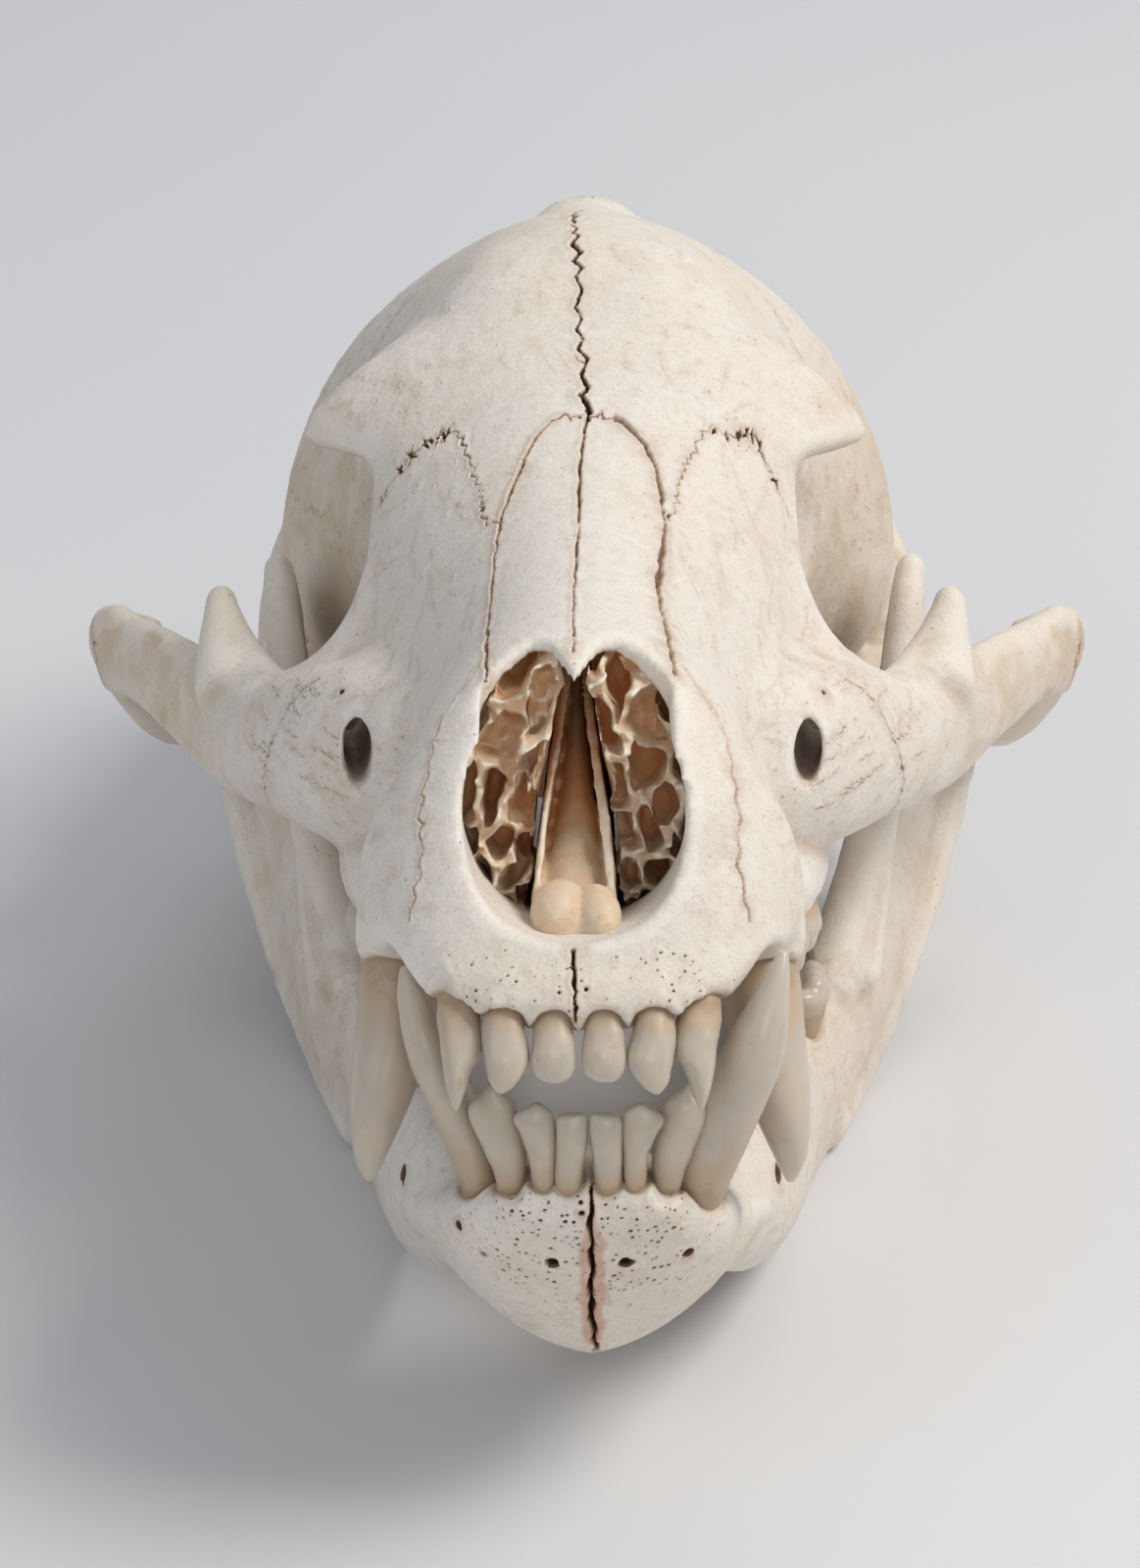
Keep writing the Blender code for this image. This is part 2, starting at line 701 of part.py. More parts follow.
def tooth(path, sizes, side, steps=TOOTH_STEPS, sides=TOOTH_SIDES):
    mesh = rod("tooth", path, sizes, up=(0, 1, 0), steps=steps, sides=sides)
    return mesh if side > 0 else mirrored(mesh)


def cheek_teeth(side, upper):
    """The row of broad cheek teeth of one side."""
    if upper:
        rows = [
            # y, x, half length, half width, height
            (46, 23.5, 2.2, 1.8, 3),
            (71, 27, 5.6, 4.2, 7),
            (85.5, 28, 8, 5.6, 6.5),
            (107, 27.6, 12.5, 6, 5.5),
        ]
        gum, way = 1.0, -1
    else:
        rows = [
            (47, 17.5, 2.0, 1.6, 2.6),
            (75, 23, 4.6, 2.8, 5.5),
            (89, 26, 9, 4, 6),
            (107, 30, 8.4, 4.8, 5),
            (122, 34.5, 5.4, 4.2, 3.6),
        ]
        gum, way = -12.5, 1
    teeth = []
    for y, x, long, wide, high in rows:
        path = [(x, y, gum + way * rise) for rise in (-5, 0.3, high * 0.7, high)]
        sizes = [(long * 0.6, wide * 0.6), (long * 0.92, wide * 0.9), (long, wide), (long * 0.72, wide * 0.6)]
        teeth.append(tooth(path, sizes, side, steps=1))
    return teeth


# Sutures: what each bone takes of the whole

NASAL_EDGE = [(12.2, 18), (12.1, 30), (12, 40), (11.8, 50), (11.3, 64), (10.2, 71), (8.7, 77), (6.8, 83)]
NASAL_TOP = [(4.8, 86.5)]
MAXILLA_TOP = [(12.2, 65), (13.2, 69), (13.8, 77), (15.5, 86), (17.8, 92), (21.5, 94), (25.7, 95), (60, 94)]
PREMAXILLA = [
    (15, -20),
    (13.5, 0),
    (11.5, 6),
    (10.2, 11.5),
    (12.4, 18.5),
    (15.8, 24.1),
    (19.6, 29.8),
    (24.8, 35.4),
    (28.5, 39.5),
    (34, 45.5),
    (34, 60),
    (-30, 60),
    (-30, -20),
]
TEMPORAL = [
    (135, 50),
    (139, 40),
    (148, 31),
    (158, 22),
    (163, 12),
    (165, -14),
    (213, -14),
    (215, 30),
    (206, 50),
    (180, 56),
    (156, 53),
    (148, 49),
]
ZYGOMATIC = [(44.5, 60), (42, 80), (40.6, 90), (42, 104), (46, 112), (56, 180), (95, 180), (95, 60)]
MAXILLA = [(5, -30), (122, -30), (120, 14), (106, 24), (99, 34), (99, 60), (5, 75)]
PARIETAL = [(144, 130), (144, 60), (150, 53), (205, 54), (221, 66), (230, 80), (246, 130)]


def cranium_bones(whole):
    """Parts the cranium along its sutures. Returns the bones; what is left is the skull's base."""
    bones = []
    for side, word in ((1, "left"), (-1, "right")):
        for name, outline, across in (("temporal", TEMPORAL, "X"), ("zygomatic", ZYGOMATIC, "Z")):
            low, high = (30, 110) if across == "X" else (-20, 60)
            territory = prism(name, outline, low, high, across)
            if side < 0:
                territory = mirrored(territory)
            bones.append(part_off(whole, f"{name}_{word}", territory))
    front = [*NASAL_EDGE[4:], *NASAL_TOP]
    back = [(60, 148), (34, 152), (24, 156.5), (12, 160), (0, 157.5)]
    frontal_half = [(0, 86.5), *reversed(front), *MAXILLA_TOP, *back]
    pairs = [
        ("premaxilla", prism("premaxilla", PREMAXILLA, -40, 40)),
        ("nasal", column("nasal", two_sided([*NASAL_EDGE, *NASAL_TOP]), 30, 0.24)),
        ("frontal", column("frontal", two_sided(frontal_half)[1:-1], 32, 0.0)),
        ("maxilla", prism("maxilla", MAXILLA, -60, 60)),
        ("parietal", prism("parietal", PARIETAL, -80, 80)),
    ]
    for name, territory in pairs:
        bones += halved(part_off(whole, name, territory), name, SUTURE_GAP)
    whole.name = "skull_base"
    return [*bones, whole]


def nasal_contents():
    """The vomer's ridge along the floor of the nose, and the scrolls of bone on each side."""
    ridge = [
        (10, 5.6, 13.4, 11.8, 10.8),
        (15, 5.6, 14.0, 12.0, 10.6),
        (24, 5.2, 14.6, 12, 10),
        (38, 4.4, 17.5, 12, 8.8),
        (50, 4.0, 22, 12, 8.0),
        (62, 3.4, 29, 12, 7.6),
        (72, 2.6, 34, 13, 7.4),
    ]
    plate = [(15, 12.4), (24, 22.5), (36, 31.5), (48, 39), (58, 44), (70, 42.5), (70, 16), (40, 12)]
    pieces = [trunk("ridge", ridge, steps=1, points=12)]
    for side in (1, -1):
        wall = prism("plate", plate, -0.9, 0.9)
        for vert in wall.vertices:
            lean = np.interp(vert.co.z / MM, (11, 16, 30, 46), (4.9, 4.2, 2.3, 0.9))
            vert.co.x = side * (vert.co.x + lean * MM)
        if side < 0:
            wall.flip_normals()
        pieces.append(wall)
    vomer = joined("vomer", pieces)
    remesh(vomer, 0.7, 1)
    thinned(vomer, VOMER_TRIANGLES)
    found = [largest_body(vomer)]
    for side, word in ((1, "left"), (-1, "right")):
        shelves = [ball("core", (9.4, 48, 27), (3.2, 22, 12), rings=8)]
        for k in range(6):
            centre = (9.3 + 0.3 * (k % 2), 45, 15.4 + 4.4 * k)
            radii = (3.5 - 0.25 * abs(k - 2), 19, 1.5)
            shelves.append(ball("shelf", centre, radii, turn=(0, 24 - 12 * k, 0), rings=8))
        scrolls = joined(f"turbinate_{word}", shelves)
        remesh(scrolls, 1.1, 1)
        if side < 0:
            scrolls.data = mirrored(scrolls.data)
        thinned(scrolls, TURBINATE_TRIANGLES)
        found.append(largest_body(scrolls))
    for obj in found:
        shifted(obj.data, NOSE_SHIFT)
    return found


def with_teeth(bone, teeth):
    boolean(bone, teeth, "UNION")
    return largest_body(bone)


def place(objects, jaws):
    """Opens the jaw, tips the skull nose up and rests it on small flats of the jaw's lower edge."""
    hinge = Vector((0, *CONDYLE_AXIS)) * MM
    swing = Matrix.Rotation(radians(JAW_OPEN), 4, "X")
    shift = Matrix.Translation((JAW_SHIFT * MM, 0, 0))
    opened = shift @ Matrix.Translation(hinge) @ swing @ Matrix.Translation(-hinge)
    tip = Matrix.Rotation(radians(-NOSE_UP), 4, "X")
    lift = Matrix.Translation(Vector((0, -MIDDLE, -FLOOR_LEVEL)) * MM)
    for obj in objects:
        obj.data.transform(lift @ tip @ opened if obj in jaws else lift @ tip)
    for obj in jaws:
        slab = prism("floor", [(-200, -400), (200, -400), (200, 400), (-200, 400)], -50, 0, "Z")
        boolean(obj, [slab], "DIFFERENCE")


def main():
    clear_scene()
    whole = cranium(CRANIUM_VOXEL, CRANIUM_TRIANGLES)
    bones = {bone.name: bone for bone in [*cranium_bones(whole), *nasal_contents()]}
    lower = jaw(JAW_VOXEL, JAW_TRIANGLES)
    jaws = halved(lower, "mandible", SYMPHYSIS_GAP)
    for side, word in ((1, "left"), (-1, "right")):
        with_teeth(bones[f"premaxilla_{word}"], upper_incisors(side))
        with_teeth(bones[f"maxilla_{word}"], [canine(side, True), *cheek_teeth(side, True)])
        teeth = [*lower_incisors(side), canine(side, False), *cheek_teeth(side, False)]
        with_teeth(jaws[0] if side > 0 else jaws[1], teeth)
    objects = [*bones.values(), *jaws]
    place(objects, jaws)
    for obj in objects:
        colour = COLOURS.get(obj.name.split("_")[0], COLOURS["bone"])
        obj.data.materials.clear()
        obj.data.materials.append(material(f"{obj.name}_bone", colour, 0.62))
        obj.data.shade_smooth()


main()
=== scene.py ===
"""The looks of a young black bear's skull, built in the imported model's frame.

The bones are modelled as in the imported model, in the skull's own frame: millimetres, +X to the
animal's left, +Y back from the front of the upper tooth sockets, +Z up, with the palate level.
Here they get a fine skin, and then open sutures, foramina, pores, turbinates and enamel. The
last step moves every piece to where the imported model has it.
"""

import json
from math import copysign, cos, pi, radians, sin

import bmesh
import bpy
import numpy as np
from mathutils import Euler, Matrix, Vector
from mathutils.bvhtree import BVHTree
from mathutils.kdtree import KDTree

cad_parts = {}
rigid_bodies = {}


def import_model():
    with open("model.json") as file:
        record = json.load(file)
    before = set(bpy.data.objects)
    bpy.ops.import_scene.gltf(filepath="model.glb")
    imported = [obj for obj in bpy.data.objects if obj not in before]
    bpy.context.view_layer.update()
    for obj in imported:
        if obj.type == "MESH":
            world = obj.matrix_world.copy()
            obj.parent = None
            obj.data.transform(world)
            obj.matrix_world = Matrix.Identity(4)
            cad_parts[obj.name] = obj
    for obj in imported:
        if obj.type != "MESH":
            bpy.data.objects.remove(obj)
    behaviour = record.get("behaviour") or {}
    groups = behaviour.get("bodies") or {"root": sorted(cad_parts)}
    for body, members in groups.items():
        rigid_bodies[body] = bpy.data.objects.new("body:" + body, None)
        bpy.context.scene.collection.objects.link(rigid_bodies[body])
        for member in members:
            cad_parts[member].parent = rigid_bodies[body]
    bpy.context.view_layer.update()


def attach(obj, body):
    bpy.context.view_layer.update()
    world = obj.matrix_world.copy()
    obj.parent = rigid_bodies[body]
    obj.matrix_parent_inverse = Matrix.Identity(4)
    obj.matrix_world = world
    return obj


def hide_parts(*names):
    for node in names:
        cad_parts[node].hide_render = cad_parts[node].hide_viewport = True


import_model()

# Driving dimensions, in millimetres and degrees
APERTURE_HALF_WIDTH = 14.2
NOSE_SHIFT = -0.7
NOSE_UP = 17.1
JAW_OPEN = 4.2
CONDYLE_AXIS = (177.0, 9.0)
JAW_SHIFT = 1.2
MIDDLE = 128.0
FLOOR_LEVEL = -74.9

# The photograph's view, in the skull's own frame: millimetres, degrees and pixels
VIEW_TARGET = (0, 60, 30)
VIEW_DISTANCE = 643
VIEW_RISE = 7.4
VIEW_TURN = 0.4
FOCAL_PIXELS = 4876.0
CENTRE_PIXEL = (594.0, 736.0)
PICTURE_PIXELS = (1163, 1600)
SENSOR_HEIGHT = 36

# Mesh sizes, in millimetres
FORM_VOXEL = 1.0
SKIN_VOXEL = 0.8
RING_POINTS = 72
ROD_POINTS = 24
SPAN_STEPS = 8
CROWN_POINTS = 28

# Heights of the surface's own unevenness, with the sizes of its cells
RELIEF = ((0.10, 7.0), (0.07, 3.1), (0.04, 1.5))

# Directions that a bar's depth is measured along
UPRIGHT = (0, 0, 1)
ALONG = (0, 1, 0)

MM = 0.001


# Curves and closed meshes


def through(points, t):
    """A point on the smooth curve through a list of points, at t from 0 to 1."""
    rows = [np.array(p, float) for p in points]
    place = min(max(t, 0.0), 1.0) * (len(rows) - 1)
    i = min(int(place), len(rows) - 2)
    u = place - i
    a, b = rows[max(i - 1, 0)], rows[i]
    c, d = rows[i + 1], rows[min(i + 2, len(rows) - 1)]
    return 0.5 * (
        2 * b + (c - a) * u + (2 * a - 5 * b + 4 * c - d) * u**2 + (3 * b - a - 3 * c + d) * u**3
    )


def power(value, exponent):
    return copysign(abs(value) ** exponent, value)


def closed_mesh(name, rings):
    """A closed mesh over a list of rings of equal length, with a cap at each end."""
    mesh = bpy.data.meshes.new(name)
    bm = bmesh.new()
    rows = [[bm.verts.new(Vector(p) * MM) for p in ring] for ring in rings]
    count = len(rows[0])
    for lower, upper in zip(rows, rows[1:]):
        for i in range(count):
            j = (i + 1) % count
            bm.faces.new((lower[i], lower[j], upper[j], upper[i]))
    bm.faces.new(rows[0])
    bm.faces.new(rows[-1])
    bmesh.ops.recalc_face_normals(bm, faces=bm.faces)
    bm.to_mesh(mesh)
    bm.free()
    return mesh


def section(y, half_width, top, widest, bottom, square=2.0, points=RING_POINTS):
    """One cross-section of the trunk: an oval whose widest level isn't at its middle."""
    ring = []
    for k in range(points):
        angle = 2 * pi * k / points
        reach = top - widest if sin(angle) >= 0 else widest - bottom
        x = half_width * power(cos(angle), 2 / square)
        ring.append((x, y, widest + reach * power(sin(angle), 2 / square)))
    return ring


def trunk(name, stations, steps=SPAN_STEPS, points=RING_POINTS):
    """A body lofted through stations of (y, half width, top, widest level, bottom), which may
    end with how square the section is."""
    total = steps * (len(stations) - 1)
    rings = [section(*through(stations, k / total), points=points) for k in range(total + 1)]
    return closed_mesh(name, rings)


def rod(name, path, sizes, up=UPRIGHT, steps=SPAN_STEPS, sides=ROD_POINTS):
    """A bar along a path of points. sizes holds, for each point, half its depth along up and
    half its thickness across."""
    total = steps * (len(path) - 1)
    rings = []
    for k in range(total + 1):
        t = k / total
        here = Vector(through(path, t))
        ahead = Vector(through(path, min(t + 0.01, 1.0))) - Vector(through(path, max(t - 0.01, 0.0)))
        ahead.normalize()
        side = ahead.cross(Vector(up)).normalized()
        rise = side.cross(ahead).normalized()
        depth, thickness = np.maximum(through(sizes, t), 0.15)
        ring = []
        for n in range(sides):
            angle = 2 * pi * n / sides
            ring.append(here + rise * (depth * sin(angle)) + side * (thickness * cos(angle)))
        rings.append(ring)
    return closed_mesh(name, rings)


def ball(name, centre, radii, turn=(0, 0, 0), rings=20):
    """An ellipsoid. turn is in degrees about X, Y and Z."""
    bm = bmesh.new()
    bmesh.ops.create_uvsphere(bm, u_segments=2 * rings, v_segments=rings, radius=1.0)
    spin = Euler([radians(a) for a in turn]).to_matrix().to_4x4()
    place = Matrix.Translation(Vector(centre) * MM) @ spin
    bmesh.ops.transform(bm, matrix=place @ Matrix.Diagonal((*(Vector(radii) * MM), 1.0)), verts=bm.verts)
    mesh = bpy.data.meshes.new(name)
    bm.to_mesh(mesh)
    bm.free()
    return mesh


def prism(name, outline, low, high, across="X"):
    """A closed outline drawn in the two axes other than across, extruded from low to high."""
    order = {"X": (2, 0, 1), "Y": (0, 2, 1), "Z": (0, 1, 2)}[across]
    rings = []
    for level in (low, high):
        rings.append([tuple((a, b, level)[i] for i in order) for a, b in outline])
    return closed_mesh(name, rings)


def mirrored(mesh):
    """The same mesh on the other side of the midline."""
    copy = mesh.copy()
    copy.transform(Matrix.Scale(-1, 4, Vector((1, 0, 0))))
    copy.flip_normals()
    return copy


def both_sides(mesh):
    return [mesh, mirrored(mesh)]


def shifted(mesh, x):
    mesh.transform(Matrix.Translation((x * MM, 0, 0)))
    return mesh


# Modelling steps on objects


def add_object(name, mesh):
    obj = bpy.data.objects.new(name, mesh)
    bpy.context.scene.collection.objects.link(obj)
    return obj


def applied(obj):
    """Replaces an object's mesh by what its modifiers make of it."""
    graph = bpy.context.evaluated_depsgraph_get()
    mesh = bpy.data.meshes.new_from_object(obj.evaluated_get(graph))
    obj.modifiers.clear()
    obj.data = mesh
    return obj


def joined(name, meshes):
    """One object that holds the faces of several meshes."""
    bm = bmesh.new()
    for mesh in meshes:
        bm.from_mesh(mesh)
    mesh = bpy.data.meshes.new(name)
    bm.to_mesh(mesh)
    bm.free()
    return add_object(name, mesh)


def mesh_of(obj):
    """The mesh of an object that isn't needed any more."""
    mesh = obj.data
    bpy.data.objects.remove(obj)
    return mesh


def remesh(obj, voxel, smooth):
    """Fuses what overlaps into one skin and rounds its creases."""
    skin = obj.modifiers.new("skin", "REMESH")
    skin.mode = "VOXEL"
    skin.voxel_size = voxel * MM
    relax = obj.modifiers.new("relax", "SMOOTH")
    relax.factor = 0.5
    relax.iterations = smooth
    return applied(obj)


def boolean(obj, meshes, operation):
    """Joins or cuts meshes to or from an object, and removes them."""
    group = bpy.data.collections.new("operands")
    bpy.context.scene.collection.children.link(group)
    for mesh in meshes:
        group.objects.link(bpy.data.objects.new("operand", mesh))
    step = obj.modifiers.new("boolean", "BOOLEAN")
    step.operand_type = "COLLECTION"
    step.collection = group
    step.operation = operation
    step.solver = "MANIFOLD"
    applied(obj)
    for operand in list(group.objects):
        bpy.data.objects.remove(operand)
    bpy.data.collections.remove(group)
    return obj


def spots(obj):
    """The vertices of an object, in millimetres."""
    points = np.empty(len(obj.data.vertices) * 3)
    obj.data.vertices.foreach_get("co", points)
    return points.reshape(-1, 3) / MM


def normals(obj):
    found = np.empty(len(obj.data.vertices) * 3)
    obj.data.vertices.foreach_get("normal", found)
    return found.reshape(-1, 3)


def set_spots(obj, points):
    obj.data.vertices.foreach_set("co", (points * MM).ravel())
    obj.data.update()


def grow(obj, amount):
    """Moves each vertex out along its normal by its own amount, and returns the new places."""
    moved = spots(obj) + normals(obj) * amount[:, None]
    set_spots(obj, moved)
    return moved


def press(obj, strokes):
    """Pushes the surface about. Each stroke is a centre, its reach along X, Y and Z, and a
    push, and acts on both sides of the midline."""
    points = spots(obj)
    for centre, reach, push in strokes:
        for side in (1, -1):
            if side < 0 and centre[0] == 0:
                continue
            flip = np.array([side, 1, 1])
            away = (points - np.array(centre) * flip) / np.array(reach)
            weight = np.clip(1 - (away**2).sum(1), 0, 1) ** 2
            points += weight[:, None] * np.array(push) * flip
    set_spots(obj, points)


def paint(obj, name, values):
    """Stores one number for each vertex, which the material reads."""
    layer = obj.data.attributes.new(name, "FLOAT", "POINT")
    layer.data.foreach_set("value", np.asarray(values, np.float32))


# Noise, and marks on the surface


def lattice(cells, seed):
    """A repeatable value from 0 to 1 for each whole-numbered cell."""
    mixed = cells[:, 0] * 73856093 ^ cells[:, 1] * 19349663 ^ cells[:, 2] * 83492791
    mixed = (mixed + seed * 374761393) & 0xFFFFFFFF
    mixed = ((mixed ^ (mixed >> 13)) * 1274126177) & 0xFFFFFFFF
    return ((mixed ^ (mixed >> 16)) & 65535) / 65535.0


def noise(points, size, seed=0):
    """Smooth noise from -1 to 1 with cells of a size in millimetres."""
    place = points / size
    base = np.floor(place).astype(np.int64)
    part = place - base
    part = part * part * (3 - 2 * part)
    total = np.zeros(len(points))
    for corner in range(8):
        step = np.array([corner & 1, corner >> 1 & 1, corner >> 2 & 1])
        weight = np.where(step, part, 1 - part).prod(axis=1)
        total += weight * lattice(base + step, seed)
    return total * 2 - 1


def ease(value):
    value = np.clip(value, 0, 1)
    return value * value * (3 - 2 * value)


def surface_of(obj):
    """A tree for casting rays on an object's faces, in millimetres."""
    faces = [tuple(p.vertices) for p in obj.data.polygons]
    return BVHTree.FromPolygons([Vector(p) for p in spots(obj)], faces)


WAYS = {
    "top": (lambda a, b: (a, b, 140), (0, 0, -1)),
    "left": (lambda a, b: (120, a, b), (-1, 0, 0)),
    "right": (lambda a, b: (-120, a, b), (1, 0, 0)),
    "front": (lambda a, b: (a, -90, b), (0, 1, 0)),
}


def drop(tree, line, way):
    """Drops points drawn in two axes onto the surface, along the third."""
    start, ahead = WAYS[way]
    found = []
    for a, b in line:
        hit = tree.ray_cast(Vector(start(a, b)), Vector(ahead))[0]
        if hit is not None:
            found.append(tuple(hit))
    return found


def wander(controls, jag, wave, rng, spacing=0.2, smooth=False):
    """Dense points along a curve, thrown from side to side as a suture runs."""
    rough = np.array([through(controls, k / 400) for k in range(401)])
    run = np.concatenate([[0], np.cumsum(np.linalg.norm(np.diff(rough, axis=0), axis=1))])
    at = np.arange(0, run[-1], spacing)
    line = np.stack([np.interp(at, run, rough[:, i]) for i in (0, 1)], axis=1)
    ahead = np.gradient(line, axis=0)
    ahead /= np.maximum(np.linalg.norm(ahead, axis=1), 1e-9)[:, None]
    knots = np.cumsum(rng.uniform(0.25, 0.8, int(run[-1] / wave * 3) + 8)) * wave
    throw = rng.uniform(0.35, 1.0, len(knots)) * np.where(np.arange(len(knots)) % 2, 1, -1) * jag
    offset = np.interp(at, knots, throw) + rng.normal(0, 0.03 + 0.05 * jag, len(at))
    offset *= np.minimum(1, np.minimum(at, run[-1] - at) / 2.0 + 0.15)
    return line + np.stack([-ahead[:, 1], ahead[:, 0]], axis=1) * offset[:, None]


class Marks:
    """Cracks and pits on one surface: points, each with a reach, a depth, a darkness and a
    stain round it."""

    def __init__(self, obj, seed):
        self.tree = surface_of(obj)
        self.rng = np.random.default_rng(seed)
        self.rows = []
        self.known = np.empty((0, 7))

    def add(self, points, reach, depth, dark, stain=0.4):
        for k, point in enumerate(points):
            self.rows.append((*point, reach[k], depth[k], dark, stain))

    def crack(
        self, controls, way, reach, depth, dark=0.9, jag=0.5, wave=3.0, stain=0.4, branches=0, length=3.0
    ):
        """One suture. Its width varies along it, and short branches leave it."""
        rng = self.rng
        line = wander(controls, jag, wave, rng)
        points = drop(self.tree, line, way)
        count = len(points)
        if count < 3:
            return
        swell = np.ones(count)
        for knots, low, high in ((12, 0.6, 1.35), (count // 5 + 2, 0.8, 1.2)):
            sizes = rng.uniform(low, high, knots)
            swell *= np.interp(np.arange(count), np.linspace(0, count, knots), sizes)
        self.add(points, reach * swell, depth * swell, dark, stain)
        for _ in range(branches):
            k = int(rng.integers(1, len(line) - 1))
            ahead = line[min(k + 2, len(line) - 1)] - line[max(k - 2, 0)]
            turn = rng.uniform(0.5, 1.5) * rng.choice([-1, 1])
            far = length * rng.uniform(0.3, 1.0)
            ahead = ahead / max(np.linalg.norm(ahead), 1e-6)
            across = np.array([-ahead[1], ahead[0]])
            end = line[k] + (ahead * cos(turn) + across * sin(turn)) * far
            twig = wander([line[k], (line[k] + end) / 2 + rng.normal(0, 0.25, 2), end], 0.2, 1.4, rng)
            points = drop(self.tree, twig, way)
            thin = np.linspace(0.75, 0.3, max(len(points), 1))
            self.add(points, reach * thin * 0.8, depth * thin * 0.8, dark * 0.85, stain * 0.6)

    def pit(self, at, way, reach, depth, dark=0.8, stain=0.5):
        """A foramen or pore, unless a mark is already there."""
        points = drop(self.tree, [at], way)
        if not points:
            return
        if len(self.rows) > len(self.known) + 40:
            self.known = np.array(self.rows)
        late = np.array(self.rows[len(self.known):]).reshape(-1, 7)
        taken = np.concatenate([self.known, late])
        gap = np.linalg.norm(taken[:, :3] - points[0], axis=1) - taken[:, 3]
        if not len(gap) or gap.min() > reach + 0.2:
            self.add(points, [reach], [depth], dark, stain)

    def comb(self, controls, way, number, length):
        """Short deep clefts across a suture, as its fingers part."""
        for _ in range(number):
            x, y = through(controls, self.rng.uniform(0.05, 0.95))
            far = length * self.rng.uniform(0.3, 1.0)
            lean = self.rng.normal(0, 0.25)
            line = [(x - lean * far, y - far * 0.5), (x, y), (x + lean * far, y + far * 0.6)]
            points = drop(self.tree, wander(line, 0.12, 1.2, self.rng), way)
            if len(points) > 2:
                taper = np.sin(np.linspace(0.25, pi - 0.1, len(points)))
                self.add(points, self.rng.uniform(0.24, 0.42) * taper, 1.1 * taper, 1.0, 0.5)

    def hairs(self, number, box, way, length):
        """Faint hairline cracks, most of them along the bone's grain."""
        (a0, a1), (b0, b1) = (sorted(ends) for ends in zip(*box))
        for _ in range(number):
            a, b = self.rng.uniform(a0, a1), self.rng.uniform(b0, b1)
            far = length * self.rng.uniform(0.25, 1.0)
            lean = self.rng.normal(0, 0.3)
            ahead = np.array([lean, 1.0]) if way == "top" else np.array([1.0, lean])
            if way == "front":
                ahead = self.rng.normal(0, 1, 2)
            end = np.array([a, b]) + ahead / np.linalg.norm(ahead) * far
            line = [(a, b), tuple((np.array([a, b]) + end) / 2 + self.rng.normal(0, 0.3, 2)), tuple(end)]
            points = drop(self.tree, wander(line, 0.12, 1.4, self.rng, 0.3), way)
            if len(points) > 2:
                thin = 0.11 * np.sin(np.linspace(0.3, pi - 0.3, len(points)))
                self.add(points, thin, thin * 1.2, self.rng.uniform(0.25, 0.6), 0.25)

    def pits(self, number, box, way, reach, depth, dark=0.6, stain=0.2):
        """Scatters pits over a box drawn in two axes."""
        (a0, a1), (b0, b1) = (sorted(ends) for ends in zip(*box))
        for _ in range(number):
            at = (self.rng.uniform(a0, a1), self.rng.uniform(b0, b1))
            size = self.rng.uniform(0.5, 1.0) ** 2
            self.pit(at, way, reach * (0.4 + 0.6 * size), depth * size, dark, stain)


def nearest(tree, points, limit):
    """For each point, the nearest entry of a tree and how far it is. Past the limit, the entry
    is -1."""
    index = np.full(len(points), -1)
    far = np.full(len(points), 1e9)
    for k, point in enumerate(points):
        found = tree.find(point)
        if found[2] is not None and found[2] < limit:
            index[k] = found[1]
            far[k] = found[2]
    return index, far


def refine(obj, close, cuts=3):
    """Divides the faces that have a vertex where close is true."""
    bm = bmesh.new()
    bm.from_mesh(obj.data)
    bm.verts.ensure_lookup_table()
    faces = [f for f in bm.faces if any(close[v.index] for v in f.verts)]
    edges = list({e for f in faces for e in f.edges})
    found = bmesh.ops.subdivide_edges(bm, edges=edges, cuts=cuts, use_grid_fill=True)
    fresh = [g for g in found["geom_inner"] if isinstance(g, bmesh.types.BMVert)]
    for _ in range(3):
        bmesh.ops.smooth_vert(bm, verts=fresh, factor=0.5, use_axis_x=True, use_axis_y=True, use_axis_z=True)
    bm.to_mesh(obj.data)
    bm.free()


def neighbours_mean(obj, values, rounds):
    """Rows of values, one for each vertex, averaged over the mesh's edges a number of times."""
    count = len(obj.data.vertices)
    ends = np.empty(len(obj.data.edges) * 2, np.int64)
    obj.data.edges.foreach_get("vertices", ends)
    a, b = ends[0::2], ends[1::2]
    share = np.maximum(np.bincount(a, minlength=count) + np.bincount(b, minlength=count), 1)
    values = values.copy()
    for _ in range(rounds):
        for i in range(values.shape[1]):
            total = np.bincount(a, values[b, i], count) + np.bincount(b, values[a, i], count)
            values[:, i] = 0.4 * values[:, i] + 0.6 * total / share
    return values


def paint_hollow(obj, here, away, rounds, gain):
    """Stores how hollow the surface is at each vertex: 0.5 where it is flat, up to 1."""
    inward = neighbours_mean(obj, here, rounds) - here
    paint(obj, "hollow", np.clip(0.5 + (inward * away).sum(axis=1) * gain, 0, 1))


